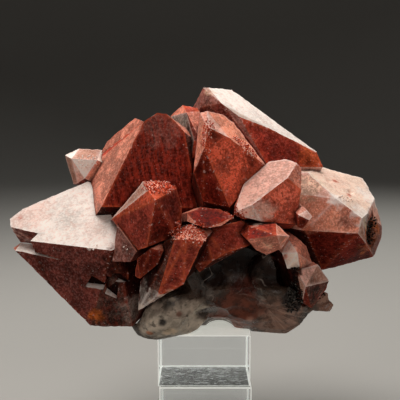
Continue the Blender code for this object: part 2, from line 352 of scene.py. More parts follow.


# For each crystal, a place on each of its flat faces, in millimetres, and that face's finish.
# PITCH faces are painted shade: undersides, recesses, hollows and sides turned from the light. The FROSTED
# ledges and lip are painted white for frost and for the light that catches them.
FACES: dict[str, dict[str, tuple[Place, Finish]]] = {
    "left point": {
        "top": ((-41.1, -22.1, 76.2), SNOWY),
        "front": ((-43.3, -25.7, 60.3), MAROON),
        "foot": ((-30.9, -24.0, 47.6), UMBER),
        "right end": ((-24.2, -24.4, 55.2), PITCH),
    },
    "left lower tip": {
        "top": ((-60.3, -19.5, 67.5), SNOWY),
        "lip": ((-51.1, -24.0, 65.9), FROSTED),
        "front": ((-56.8, -21.3, 62.4), MAROON),
    },
    "left step": {
        "first ledge": ((-36.1, -24.7, 56.4), FROSTED),
        "second ledge": ((-31.2, -24.9, 53.7), FROSTED),
        "third ledge": ((-27.4, -26.1, 58.4), FROSTED),
        "recess of the first ledge": ((-36.2, -23.5, 57.5), PITCH),
        "recess of the second ledge": ((-30.5, -24.3, 56.5), PITCH),
        "recess of the third ledge": ((-28.0, -25.6, 60.0), PITCH),
        "wall between the ledges": ((-31.2, -24.3, 57.4), UMBER),
    },
    "left side crystal": {
        "front": ((-26.0, -35.9, 71.0), MAUVE),
    },
    "left back point": {
        "top": ((-41.6, -1.7, 98.2), CLAY),
        "front": ((-42.0, -6.0, 94.5), SNOWY),
        "left": ((-47.0, -2.8, 92.8), CLAY),
        "low left": ((-44.5, -5.0, 91.7), ROSY),
        "low right": ((-38.9, -5.6, 92.7), CORAL),
    },
    "tall left plate": {
        "edge": ((-31.4, -5.4, 102.0), GARNET),
    },
    "tall left point": {
        "lower left": ((-36.7, -16.9, 83.3), SALMON),
        "front": ((-16.6, -19.3, 96.7), STREAKED),
        "underside": ((-32.1, -21.9, 80.8), PITCH),
        "right": ((-5.3, -16.4, 100.6), UMBER),
    },
    "front point": {
        "left": ((-21.1, -39.8, 79.0), RUBY),
        "upper left": ((-22.2, -36.9, 87.3), CLAY),
        "shoulder": ((-20.7, -40.7, 85.8), BRICK),
        "right": ((-10.5, -40.8, 84.3), WINE),
        "cap front": ((-14.9, -42.3, 89.8), BRICK),
        "cap right": ((-12.1, -39.8, 89.8), BRICK),
        "cap top": ((-16.3, -38.3, 91.4), CORAL),
    },
    "middle point": {
        "small face": ((2.0, -27.7, 89.8), OXIDE),
        "lower left": ((-1.8, -26.5, 93.5), OXIDE),
        "left side": ((-2.9, -22.4, 87.1), UMBER),
        "left strip": ((-1.7, -24.7, 104.4), CORAL),
        "top": ((2.8, -23.9, 109.1), ROSY),
        "foot": ((3.1, -26.0, 82.8), PITCH),
    },
    "point behind": {
        "left": ((-7.3, -8.6, 109.3), SOOTY),
        "lower left": ((-4.6, -13.9, 107.1), MAROON),
        "top": ((-4.0, -5.0, 114.3), GARNET),
        "front of the top": ((-4.3, -6.2, 113.9), GARNET),
        "right": ((-3.8, -10.7, 110.8), SALMON),
    },
    "blade": {
        "top": ((16.0, -2.1, 113.1), SNOWY),
        "front": ((24.9, -8.2, 101.5), GARNET),
        "front left": ((12.8, -9.3, 107.4), MAUVE),
        "bevel": ((12.8, -8.4, 111.7), PEARLY),
        "left end": ((0.9, -3.4, 117.3), MAUVE),
        "far left": ((-2.4, 0.4, 116.5), MAUVE),
        "tip": ((-0.2, -0.6, 121.3), CLAY),
        "right end": ((37.0, -4.7, 98.6), BRICK),
        "right underside": ((37.0, -5.9, 93.7), ROSY),
    },
    "right middle point": {
        "front": ((23.4, -30.7, 84.3), EMBERED),
        "top": ((18.7, -27.7, 91.0), ROSY),
        "scar": ((13.7, -33.9, 81.8), ROSY),
        "underside": ((25.5, -27.0, 77.0), GARNET),
    },
    "right point": {
        "front": ((43.5, -20.8, 77.7), CORAL),
        "upper left": ((36.4, -14.2, 87.9), ROSY),
        "left": ((36.2, -17.9, 81.5), CORAL),
        "underside": ((41.2, -17.8, 68.8), OXIDE),
        "left underside": ((33.5, -16.2, 69.3), PITCH),
        "right underside": ((48.1, -17.1, 67.1), OXIDE),
        "end": ((57.0, -12.9, 71.9), MAUVE),
        "front edge": ((51.6, -21.3, 74.1), CLAY),
        "upper end": ((58.5, -9.4, 78.5), ROSY),
    },
    "wedge": {
        "top": ((31.5, -32.5, 81.5), ROSY),
    },
    "small middle point": {
        "face": ((0.8, -35.5, 81.0), CRIMSON),
    },
    "sugared point": {
        "front": ((-10.3, -43.1, 69.1), RUBY),
        "long front": ((-9.4, -40.4, 64.0), RUBY),
        "right": ((-4.8, -43.1, 69.8), RUBY),
        "far right": ((-2.5, -36.8, 68.2), PITCH),
        "top left": ((-8.0, -38.2, 76.8), UMBER),
        "left": ((-16.8, -37.2, 63.0), PITCH),
        "lower left": ((-15.5, -37.8, 60.4), UMBER),
    },
    "small left point": {
        "front": ((-16.6, -41.1, 68.1), OXIDE),
        "left": ((-19.7, -39.0, 67.4), OXIDE),
    },
    "red band": {
        "front": ((7.4, -33.5, 74.3), GARNET),
        "lower front": ((2.7, -35.0, 70.4), GARNET),
        "left": ((-0.3, -34.4, 68.2), WINE),
        "underside": ((4.7, -35.0, 67.3), PITCH),
    },
    "hollow behind the red band": {
        "face": ((8.7, -28.5, 79.2), PITCH),
    },
    "pale middle point": {
        "front": ((18.5, -37.8, 72.5), SALMON),
        "left": ((15.9, -38.7, 76.1), CRIMSON),
        "upper left": ((12.2, -34.7, 76.6), OXIDE),
        "top": ((19.0, -36.4, 77.5), GARNET),
        "lower right": ((23.4, -38.0, 74.0), CORAL),
    },
    "ledge behind the pale middle point": {
        "face": ((16.1, -32.3, 78.5), PITCH),
    },
    "lower right upper point": {
        "left": ((26.5, -30.4, 66.8), PEARLY),
        "crest": ((26.8, -29.0, 69.7), ROSY),
        "low right": ((31.5, -28.4, 65.3), CORAL),
        "low": ((28.4, -30.7, 65.1), PEARLY),
        "side": ((24.0, -25.0, 65.9), PITCH),
    },
    "lower right point": {
        "top": ((32.7, -28.4, 61.3), ROSY),
        "right": ((36.6, -26.0, 59.5), CLAY),
        "foot": ((36.0, -26.0, 54.5), UMBER),
        "left": ((27.3, -25.1, 59.2), PITCH),
        "lower left": ((30.7, -29.5, 57.5), CLAY),
    },
}

PATCHES = (
    Patch("rust stain on the left point", (-36.5, -23.5, 46), 3.0, Tint.RUST, 0.75),
    Patch("smoky foot of the left point", (-24, -23, 47), 6.5, Tint.ASH, 0.7),
    # Painted shade, from here to the wall over the steps: feet, heel and ends that lie in shade.
    Patch("shaded foot of the left point", (-33, -24, 49), 5.0, Tint.PITCH, 0.5),
    Patch("shaded foot of the lower right point", (36, -26, 53), 3.5, Tint.PITCH, 0.5),
    Patch("dark heel of the left point", (-30, -22, 43), 3.5, Tint.PITCH, 0.6),
    Patch("shaded end of the left point", (-22, -30, 60), 8.0, Tint.PITCH, 0.8),
    Patch("shaded wall over the steps", (-27, -30, 64), 7.0, Tint.PITCH, 0.9),
    Patch("shaded end under the wall", (-24.5, -26.5, 61), 5.0, Tint.PITCH, 0.9),
    Patch("pink top of the right point", (44, -6, 89), 7.0, Tint.ROSE, 0.25, 0.4),
    Patch("red spot on the right point's top", (45.3, -6.5, 89.3), 1.1, Tint.BRICK, 0.8),
    Patch("red spot by the crest", (49, -12, 85), 1.3, Tint.BRICK, 0.75),
    Patch("ochre fleck on the crest", (50.5, -17.5, 81.5), 1.0, Tint.RUST, 0.7),
    Patch("white tooth on the left point's front", (-37.2, -30.6, 69.9), 0.8, Tint.SNOW, 0.9, 0.6),
    Patch("red notch in the left point's top", (-30, -32.3, 70.4), 1.6, Tint.MAROON, 0.8),
    Patch("red spot by the left tip", (-63, -15, 77.5), 1.1, Tint.BRICK, 0.8),
    Patch("red spot on the left edge", (-47.5, -11, 85), 1.0, Tint.BRICK, 0.7),
    Patch("pink tip of the left point", (-61, -13, 80), 10.0, Tint.ROSE, 0.45, 0.4),
    Patch("pink bloom on the left point", (-36, -24, 74), 6.0, Tint.ROSE, 0.25, 0.5),
    Patch("grey bloom on the left point", (-47, -19, 77), 6.0, Tint.ASH, 0.18, 0.6),
    # painted sheen: a milky haze of reflected light on the tall point
    Patch("painted hazy sheen on the tall point", (-14, -17.5, 110), 9.0, Tint.MAUVE, 0.6, 0.1),
    Patch("dark foot of the tall point", (-24, -22, 84), 9.0, Tint.OXIDE, 0.6),
    Patch("dark side of the tall point", (-6, -19, 90), 9.0, Tint.OXIDE, 0.5),
    Patch("cream scar", (17.5, -33.4, 82), 4.2, Tint.SHELL, 0.6, 0.35),
    Patch("brown heart of the scar", (15.6, -33.6, 81.2), 1.1, Tint.COCOA, 0.7),
    Patch("brown fleck on the scar", (18.2, -33, 82.6), 0.8, Tint.COCOA, 0.6),
    Patch("dark shade of the small left point", (-18, -40, 66), 4.5, Tint.PITCH, 0.45),
    Patch("shade over the sugared point", (-10, -43.5, 68.5), 5.0, Tint.MAROON, 0.5),
    Patch("brown foot of the blade's end", (1, -4.5, 114.5), 3.2, Tint.UMBER, 0.6),
    Patch("sand-coloured tip of the blade", (1.5, -3, 120), 2.2, Tint.SAND, 0.5, 0.1),
    Patch("orange end of the blade", (36, -5, 97), 5.5, Tint.RUST, 0.45),
    Patch("dark upper part of the middle point", (3.2, -26.6, 105.5), 2.6, Tint.PITCH, 0.65),
    Patch("dark spot by the middle point's edge", (15.5, -23, 97.7), 2.6, Tint.PITCH, 0.8),
    Patch("ochre spot on the right point", (44.5, -19, 83.6), 1.6, Tint.RUST, 0.8),
    Patch("pale upper left of the right point", (35, -14, 88), 6.0, Tint.SAND, 0.45),
    Patch("violet shade on the right point", (47, -20, 78), 4.0, Tint.MAUVE, 0.6),
    Patch("cream crest of the right point", (44, -18.5, 84), 3.4, Tint.SNOW, 0.85, 0.5),
    Patch("cream end of the crest", (52, -19, 79), 4.2, Tint.SNOW, 0.8, 0.5),
    Patch("cream edge of the right point", (57, -6, 84), 5.0, Tint.SNOW, 0.7, 0.4),
    Patch("ochre rim of the pocket", (55.8, -12.5, 73), 8.0, Tint.RUST, 0.75, 0.15),
    Patch("brown edge over the pocket", (56.5, -13.5, 77.6), 2.6, Tint.OXIDE, 0.8),
    Patch("cream rim of the pocket", (52.6, -20, 76.6), 2.4, Tint.SAND, 0.8, 0.3),
    Patch("dark pocket in the right point", (55.8, -12.5, 72.2), 5.2, Tint.PITCH, 0.97),
    Patch("clear end of the sugared point", (-19, -34, 54), 6.0, Tint.ASH, 0.9, 0.3),
    Patch("bright rim over the dark lens", (-20.8, -32, 50.8), 1.6, Tint.SAND, 0.8, 0.4),
    Patch("bright rim over the dark lens", (-17.4, -34, 53.4), 1.3, Tint.SAND, 0.7, 0.3),
    Patch("bright rim over the dark lens", (-14.2, -35.6, 55.8), 1.2, Tint.SAND, 0.6, 0.3),
    Patch("bright rim over the dark lens", (-11.3, -36.9, 57.7), 1.1, Tint.SAND, 0.5, 0.2),
    # painted shade: the seam under the front point
    Patch("dark seam under the front point", (-16, -38, 64), 4.0, Tint.PITCH, 0.6),
    Patch("dark notch on the lower right", (28.5, -29, 62), 2.6, Tint.PITCH, 0.9),
    Patch("pale glint on the lower right", (27.2, -30, 69.0), 2.2, Tint.SHELL, 0.35, 0.2),
    Patch("red flecks beside the glint", (25.6, -29, 67), 1.4, Tint.BRICK, 0.7),
    Patch("orange glow at the foot of the red point", (33, -22, 73.5), 4.0, Tint.CORAL, 0.5),
    Patch("cream underside of the pale middle point", (19, -39, 70.5), 3.0, Tint.SAND, 0.6, 0.2),
)


@dataclass(frozen=True)
class HematoidQuartz:
    """Natural quartz with hematite inside, its faces as grown.

    The red lies under the surface, so faces look deep, ridges glow where light gets through, painted as
    colour, and fine clear growth leaves a sugary grain that turns the upper faces nearly white, with painted
    sheen of the light above added to that white.
    """

    ridge_glow: str = "E46A44"
    shadow: str = "0C0504"
    snow: str = "FFF6EF"
    blush: str = "E5B3A0"
    ember: str = "CC4A34"
    soot: str = "120C0A"
    mottle_mm: float = 4.5
    grain_mm: float = 0.7  # the real grain is about 0.2 mm; drawn coarser so that it shows
    # How far the mottling spreads the lightness, and its limits: on bare faces, and on frosted ones.
    span: tuple[float, float] = (5.2, 1.4)
    least: tuple[float, float] = (0.32, 0.86)
    most: tuple[float, float] = (2.2, 1.15)
    ior: float = 1.544
    specular: float = 0.025
    coat: float = 0.01
    coat_roughness: float = 0.12
    relief_mm: float = 0.25

    def make(self) -> bpy.types.Material:
        """Builds the material.

        Returns:
            The material.
        """
        material, tree, shader = new_shader("hematoid quartz crystal")
        tint, _ = painted(tree, "tint")
        _, (frost, streaks, blotches, glow) = painted(tree, "look")
        _, (ridge, valley, halo, _) = painted(tree, "lines")
        clouds = grain(tree, self.mottle_mm, 0.36, 0.64, detail=5.0)
        curds = grain(tree, 0.35 * self.mottle_mm, 0.36, 0.64, detail=3.0)
        fine = grain(tree, self.grain_mm, 0.34, 0.66, detail=2.0)
        drifts = grain(tree, 3.0 * self.mottle_mm, 0.38, 0.62, detail=3.0)
        light = (drifts * 0.28 + clouds * 0.26 + (curds * 0.2 + fine * 0.26)) ** 3.0
        pale = frost * 4.0
        bare = 1.0 - frost
        lengthways = grain(tree, 1.0, 0.46, 0.62, stretch=(1.0, 1.0, 9.0), turn=(0.0, 0.15, 0.0))
        flecks = grain(tree, 1.1, 0.53, 0.66) * bare
        spots = grain(tree, 5.0, 0.57, 0.63, detail=8.0) * blotches
        dots = grain(tree, 0.85, 0.59, 0.65, detail=2.0) * (1.1 - pale)
        blush = grain(tree, 1.6, 0.5, 0.62) * frost
        sugar = grain(tree, 0.7, 0.5, 0.6, detail=2.0) * (frost * 0.8)
        edge_light = ridge * glow * grain(tree, 1.8, 0.3, 0.55)
        # painted highlight: small white glints along the ridges
        painted_ridge_glints = ridge * grain(tree, 1.1, 0.6, 0.65, detail=3.0)
        glints = grain(tree, 0.6, 0.74, 0.77, detail=1.0) * bare
        colour = layered(
            tree,
            self.mottled(tree, tint, light, pale),
            (lengthways * (streaks * 0.55), self.ember),
            (flecks * (glow * 0.55), self.ember),
            (spots * 0.85, self.soot),
            (dots * 0.5, self.soot, "MULTIPLY"),
            (blush * 0.5, self.blush),
            (sugar, self.snow),
            # painted light: faces near the ridges, and the ridges themselves, glow as if light got through
            (halo * glow * 0.4 * (curds + 0.3), self.ember),
            (edge_light, self.ridge_glow),
            # painted highlight: the ridges of the pale faces are whitened
            (ridge * (pale - 0.35), self.snow),
            (painted_ridge_glints * 0.4, self.snow),
            (glints * 0.45, self.snow),
            (valley * (0.9 - frost * 0.8), self.shadow),
        )
        growth = {"Strength": 0.3, "Distance": self.relief_mm * MM, "Height": fine * 0.5 + clouds * 0.3}
        relief = add_node(tree, "ShaderNodeBump", growth)
        look = {
            "Base Color": colour,
            "Roughness": frost * 0.25 + fine * 0.15 + 0.28,
            "Normal": relief.outputs["Normal"],
            "IOR": self.ior,
            "Specular IOR Level": self.specular,
            "Coat Weight": self.coat,
            "Coat Roughness": self.coat_roughness,
        }
        feed(shader, look)
        return material

    def mottled(
        self, tree: bpy.types.NodeTree, tint: bpy.types.NodeSocket, light: Amount, pale: Amount
    ) -> bpy.types.NodeSocket:
        """Makes the faces' own colour lighter and darker from place to place.

        Args:
            tree: the material's tree.
            tint: the faces' own colour.
            light: how light each place is.
            pale: how frosted it is; frosted faces vary less.

        Returns:
            The socket that carries the colour.
        """
        span, least, most = (
            add_node(tree, "ShaderNodeMix", {0: pale, 2: bare, 3: frosted}, data_type="FLOAT").outputs[0]
            for bare, frosted in (self.span, self.least, self.most)
        )
        raised = add_node(tree, "ShaderNodeMath", {0: light, 1: span, 2: least}, operation="MULTIPLY_ADD")
        kept = add_node(tree, "ShaderNodeMath", {0: raised.outputs[0], 1: most}, operation="MINIMUM")
        return add_node(tree, "ShaderNodeHueSaturation", {"Value": kept.outputs[0], "Color": tint}).outputs[0]


@dataclass(frozen=True)
class SugarQuartz:
    """Druse: a crust of tiny quartz points, glassy, so each one flashes white or shows the red under it; the
    flashes are partly painted, as patches of the pale colour.
    """

    name: str
    colour: str
    pale: str
    metallic: float = 0.0
    spacing: float = 0.44  # mm between neighbouring points
    ior: float = 1.544

    def make(self) -> bpy.types.Material:
        """Builds the material.

        Returns:
            The material.
        """
        material, tree, shader = new_shader(self.name)
        # the pale patches are partly paler points and partly painted flashes of light
        patchy = grain(tree, 0.8, 0.54, 0.62, detail=2.0) * 0.85
        stone = {"Metallic": self.metallic} if self.metallic else {"IOR": self.ior, "Specular IOR Level": 0.3}
        look = {
            "Base Color": layered(tree, self.colour, (patchy, self.pale)),
            "Roughness": grain(tree, 0.9, 0.4, 0.6) * 0.25 + 0.1,
            "Coat Weight": 0.15,
            "Coat Roughness": 0.05,
        }
        feed(shader, look | stone)
        return material


@dataclass(frozen=True)
class ClearQuartz:
    """Smoky to clear massive quartz, broken.

    Fresh breaks are glassy and show curved ripples; inside it is brownish, with cloudy veils that catch the
    light.
    """

    ior: float = 1.544
    absorption: str = "B58B70"
    absorption_density: float = 150.0
    hackle: str = "E6C2AE"
    fracture: str = "D8C8BA"
    stain: str = "241812"
    relief_mm: float = 0.25

    def make(self) -> bpy.types.Material:
        """Builds the material.

        Returns:
            The material.
        """
        material, tree, shader = new_shader("smoky clear quartz")
        zone, (*_, milk) = painted(tree, "tint")
        fan, (_, _, fanned, _) = painted(tree, "fan")
        clear = 1.0 - milk
        veils = grain(tree, 4.0, 0.42, 0.66, stretch=(1.0, 1.0, 0.7), turn=(0.3, 0.5, 0.1), detail=7.0)
        haze = veils * (milk * 0.6)
        lit = add_node(tree, "ShaderNodeMath", {0: haze, 1: 1.3, 2: 0.85}, operation="MULTIPLY_ADD")
        hazed = add_node(tree, "ShaderNodeHueSaturation", {"Value": lit.outputs[0], "Color": zone})
        outwards = {"Vector": fan, "Scale": (50.0, 4.0, 0.0)}
        polar = add_node(tree, "ShaderNodeMapping", outwards, vector_type="POINT")
        rays = add_node(tree, "ShaderNodeTexNoise", {"Vector": polar.outputs[0], "Scale": 1.0, "Detail": 3.0})
        cut = {"Value": rays.outputs["Fac"], "From Min": 0.48, "From Max": 0.66}
        hackles = Amount(add_node(tree, "ShaderNodeMapRange", cut, clamp=True).outputs["Result"]) * fanned
        stains = grain(tree, 2.6, 0.56, 0.64, detail=6.0) * milk
        colour = layered(
            tree,
            hazed.outputs["Color"],
            (hackles * 0.45, self.hackle),
            (self.fractures(tree) * 0.5, self.fracture),
            (stains * 0.8, self.stain),
        )
        cloudy = haze.joined("MAXIMUM", haze, hackles * 0.6)
        ripples = grain(tree, 1.4, 0.35, 0.7, stretch=(1.0, 1.0, 2.5), detail=5.0)
        waves = {"Strength": 0.25, "Distance": self.relief_mm * MM, "Height": ripples}
        relief = add_node(tree, "ShaderNodeBump", waves)
        look = {
            "Base Color": colour,
            "Roughness": veils * 0.2 + milk * 0.2 + 0.07,
            "Transmission Weight": clear * 0.85 - cloudy,
            "Normal": relief.outputs["Normal"],
            "IOR": self.ior,
            "Specular IOR Level": 0.2,
        }
        feed(shader, look)
        smoke = {"Color": linear(self.absorption), "Density": self.absorption_density}
        volume = add_node(tree, "ShaderNodeVolumeAbsorption", smoke).outputs["Volume"]
        feed(tree.nodes["Material Output"], {"Volume": volume})
        return material

    @staticmethod
    def fractures(tree: bpy.types.NodeTree) -> Amount:
        """Adds thin curved lines, as where breaks inside the quartz reach its surface.

        Args:
            tree: the material's tree.

        Returns:
            The lines.
        """
        around = grain(tree, 16.0, 0.2, 0.8, stretch=(1.6, 1.0, 0.8), turn=(0.0, 0.6, 0.0), detail=2.0)
        middle = add_node(tree, "ShaderNodeMath", {0: around, 1: 0.5}, operation="SUBTRACT")
        gap = add_node(tree, "ShaderNodeMath", {0: middle.outputs[0]}, operation="ABSOLUTE")
        cut = {"Value": gap.outputs[0], "From Max": 0.012, "To Min": 1.0, "To Max": 0.0}
        line = add_node(tree, "ShaderNodeMapRange", cut, clamp=True)
        return Amount(line.outputs["Result"]) * grain(tree, 7.0, 0.42, 0.58)


class AcrylicCut(Enum):
    """What was done to a face of the acrylic blocks."""

    POLISHED = "clear cast acrylic"
    SAWN = "sawn acrylic edge"
    GLUED = "acrylic face with cured glue"


@dataclass(frozen=True)
class ClearAcrylic:
    """Cast acrylic block: water clear through its polished sides.

    Its sawn edges gather the light that runs inside the block and glow white, painted with emission; where
    glue has cured on it, bubbles and creases sparkle against the dark.
    """

    cut: AcrylicCut = AcrylicCut.POLISHED
    ior: float = 1.491
    colour: str = "F6FAFC"
    worn: str = "E8EEF2"
    glue_dark: str = "101214"
    glue_light: str = "4C5052"
    edge_glow: str = "F6F6EA"
    edge_glow_strength: float = 0.42
    relief_mm: float = 0.2

    def make(self) -> bpy.types.Material:
        """Builds the material.

        Returns:
            The material.
        """
        material, tree, shader = new_shader(self.cut.value)
        handled = grain(tree, 6.0, 0.45, 0.7)
        smoothest, spread, clear, pit_mm, strength = {
            AcrylicCut.POLISHED: (0.02, 0.05, 0.97, 9.0, 0.03),
            AcrylicCut.SAWN: (0.4, 0.2, 0.2, 1.3, 0.4),
            AcrylicCut.GLUED: (0.12, 0.2, 0.25, 1.1, 0.9),
        }[self.cut]
        colour = layered(tree, self.colour, (handled * 0.25, self.worn))
        if self.cut is AcrylicCut.GLUED:
            bubbles = grain(tree, 1.2, 0.52, 0.6, stretch=(1.6, 1.0, 1.0), detail=3.0)
            creases = grain(tree, 7.0, 0.42, 0.6)
            colour = layered(tree, self.glue_dark, (creases, self.glue_light), (bubbles, colour))
        pits = grain(tree, pit_mm, 0.4, 0.62, detail=2.0)
        dents = {"Strength": strength, "Distance": self.relief_mm * MM, "Height": pits}
        relief = add_node(tree, "ShaderNodeBump", dents)
        look = {
            "Base Color": colour,
            "Roughness": handled * spread + smoothest,
            "Normal": relief.outputs["Normal"],
            "IOR": self.ior,
            "Transmission Weight": clear,
        }
        if self.cut is AcrylicCut.SAWN:
            # painted light: the sawn faces glow by emission
            look |= {"Emission Color": linear(self.edge_glow), "Emission Strength": self.edge_glow_strength}
        feed(shader, look)
        return material


@dataclass(frozen=True)
class StudioPaper:
    """A roll of pale seamless paper under and behind the object: matt, with the faintest unevenness."""

    colour: str = "ABAAA6"
    darker: str = "9C9B97"

    def make(self) -> bpy.types.Material:
        """Builds the material.

        Returns:
            The material.
        """
        material, tree, shader = new_shader("seamless paper")
        uneven = grain(tree, 180.0, 0.4, 0.6) * 0.06
        feed(shader, {"Base Color": layered(tree, self.colour, (uneven, self.darker)), "Roughness": 0.9})
        return material


# ---------------------------------------------------------------- mesh helpers


def merged_copy(node: str, weld_mm: float = 0.002, sliver_mm: float = 0.001) -> bmesh.types.BMesh:
    """Copies a CAD node's mesh and joins its loose triangles.

    Args:
        node: the CAD node's name.
        weld_mm: corners nearer than this become one.
        sliver_mm: edges shorter than this are dissolved.

    Returns:
        The joined mesh.
    """
    bm = bmesh.new()
    bm.from_mesh(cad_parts[node].data)
    bmesh.ops.remove_doubles(bm, verts=bm.verts, dist=weld_mm * MM)
    bmesh.ops.dissolve_degenerate(bm, dist=sliver_mm * MM, edges=bm.edges)
    bmesh.ops.triangulate(bm, faces=bm.faces)
    bm.normal_update()
    return bm


def to_mesh(bm: bmesh.types.BMesh, name: str) -> bpy.types.Mesh:
    """Turns an edit mesh into a plain one and frees it.

    Args:
        bm: the edit mesh.
        name: the new mesh's name.

    Returns:
        The new mesh.
    """
    mesh = bpy.data.meshes.new(name)
    bm.to_mesh(mesh)
    bm.free()
    return mesh


def add_object(name: str, data: bpy.types.ID) -> bpy.types.Object:
    """Adds an object to the scene.

    Args:
        name: its name.
        data: its mesh, light or camera.

    Returns:
        The object.
    """
    added = bpy.data.objects.new(name, data)
    bpy.context.scene.collection.objects.link(added)
    return added


def settled(holder: bpy.types.Object) -> bpy.types.Mesh:
    """Turns an object with modifiers into a plain mesh and removes the object.

    Args:
        holder: the object.

    Returns:
        The mesh that its modifiers leave.
    """
    shown = holder.evaluated_get(bpy.context.evaluated_depsgraph_get())
    mesh = bpy.data.meshes.new_from_object(shown)
    bpy.data.objects.remove(holder)
    return mesh


def finished(name: str, mesh: bpy.types.Mesh, material: bpy.types.Material) -> bpy.types.Object:
    """Makes a piece of the object and lets it ride on the body.

    Args:
        name: the piece's name.
        mesh: its mesh, in place.
        material: its finish.

    Returns:
        The piece.
    """
    piece = add_object(name, mesh)
    if not mesh.materials:
        mesh.materials.append(material)
    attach(piece, BODY)
    LOG.info("%s: %d faces", name, len(mesh.polygons))
    return piece


def split(bm: bmesh.types.BMesh, edges: list[bmesh.types.BMEdge]) -> None:
    """Halves edges and makes triangles again."""
    bmesh.ops.subdivide_edges(bm, edges=edges, cuts=1)
    bmesh.ops.triangulate(bm, faces=[face for face in bm.faces if len(face.verts) > 3])


def tessellate(bm: bmesh.types.BMesh, longest: float, rounds: int = 9) -> None:
    """Splits edges until none is longer than a limit; flat faces stay flat.

    Args:
        bm: the mesh, changed in place.
        longest: the limit in metres.
        rounds: the most passes made.
    """
    for _ in range(rounds):
        long_edges = [edge for edge in bm.edges if edge.calc_length() > longest]
        if not long_edges:
            break
        split(bm, long_edges)


def corners_mm(mesh: bpy.types.Mesh) -> np.ndarray:
    """Reads the places of a mesh's vertices.

    Args:
        mesh: the mesh.

    Returns:
        The places in millimetres.
    """
    places = np.zeros(len(mesh.vertices) * 3)
    mesh.vertices.foreach_get("co", places)
    return places.reshape(-1, 3) / MM


def write_colours(mesh: bpy.types.Mesh, domain: str, **layers: np.ndarray) -> None:
    """Writes colour attributes.

    Args:
        mesh: the mesh that gets them.
        domain: POINT or CORNER.
        layers: four values for each point or corner, by the attribute's name.
    """
    for name, values in layers.items():
        attribute = mesh.color_attributes.new(name, "FLOAT_COLOR", domain)
        attribute.data.foreach_set("color", values.astype(np.float32).ravel())


def gap_in(spot: object, place: Vector) -> float:
    """Returns how far a place (mm) is from the centre of a pocket or druse bed; its rim is at one."""
    return Vector((c - a) / r for c, a, r in zip(place, spot.at, spot.reach)).length


def fractal(place: Vector, size_mm: float) -> float:
    """Returns smooth random height, about -1 to 1, whose bumps have the given size."""
    spot = place / (size_mm * MM)
    return noise.noise(spot) + 0.5 * noise.noise(spot * 2.1) + 0.25 * noise.noise(spot * 4.3)


def fractals(places: np.ndarray, size_mm: float) -> np.ndarray:
    """Returns that height at each of many places, given in millimetres."""
    return np.array([fractal(Vector(place) * MM, size_mm) for place in places])


# ---------------------------------------------------------------- the crystals


@dataclass(frozen=True)
class Pocket:
    """A ragged hollow in the crystals, in millimetres: its centre, reach and depth."""

    at: Place
    reach: Place
    depth: float
    rim: float = 1.2  # how far out the ragged rim can lie
    ragged: float = 0.4
    bump_mm: float = 1.5
    steep: float = 1.6

    def depth_at(self, place: Vector) -> float:
        """Works out how deep the hollow is at a place.

        Args:
            place: the place, in millimetres.

        Returns:
            The depth, nothing outside the hollow.
        """
        gap = gap_in(self, place)
        if gap >= self.rim:
            return 0.0
        sunk = max(0.0, 1.0 - gap * gap + self.ragged * noise.noise(place / self.bump_mm))
        return self.depth * min(1.0, sunk * self.steep)


POCKETS = (
    Pocket((56.0, -13.0, 72.8), (4.8, 6.0, 5.2), 1.8),
    Pocket((16.5, -33.8, 82.3), (2.6, 2.5, 2.0), 0.9),
    Pocket((28.4, -29.5, 62.4), (2.0, 2.5, 1.4), 1.2),
    Pocket((50.0, -9.5, 86.3), (1.2, 1.6, 1.2), 0.8),
    Pocket((43.0, -8.5, 90.0), (2.0, 1.2, 1.0), 0.6),
)


Near = tuple[float, float, float]


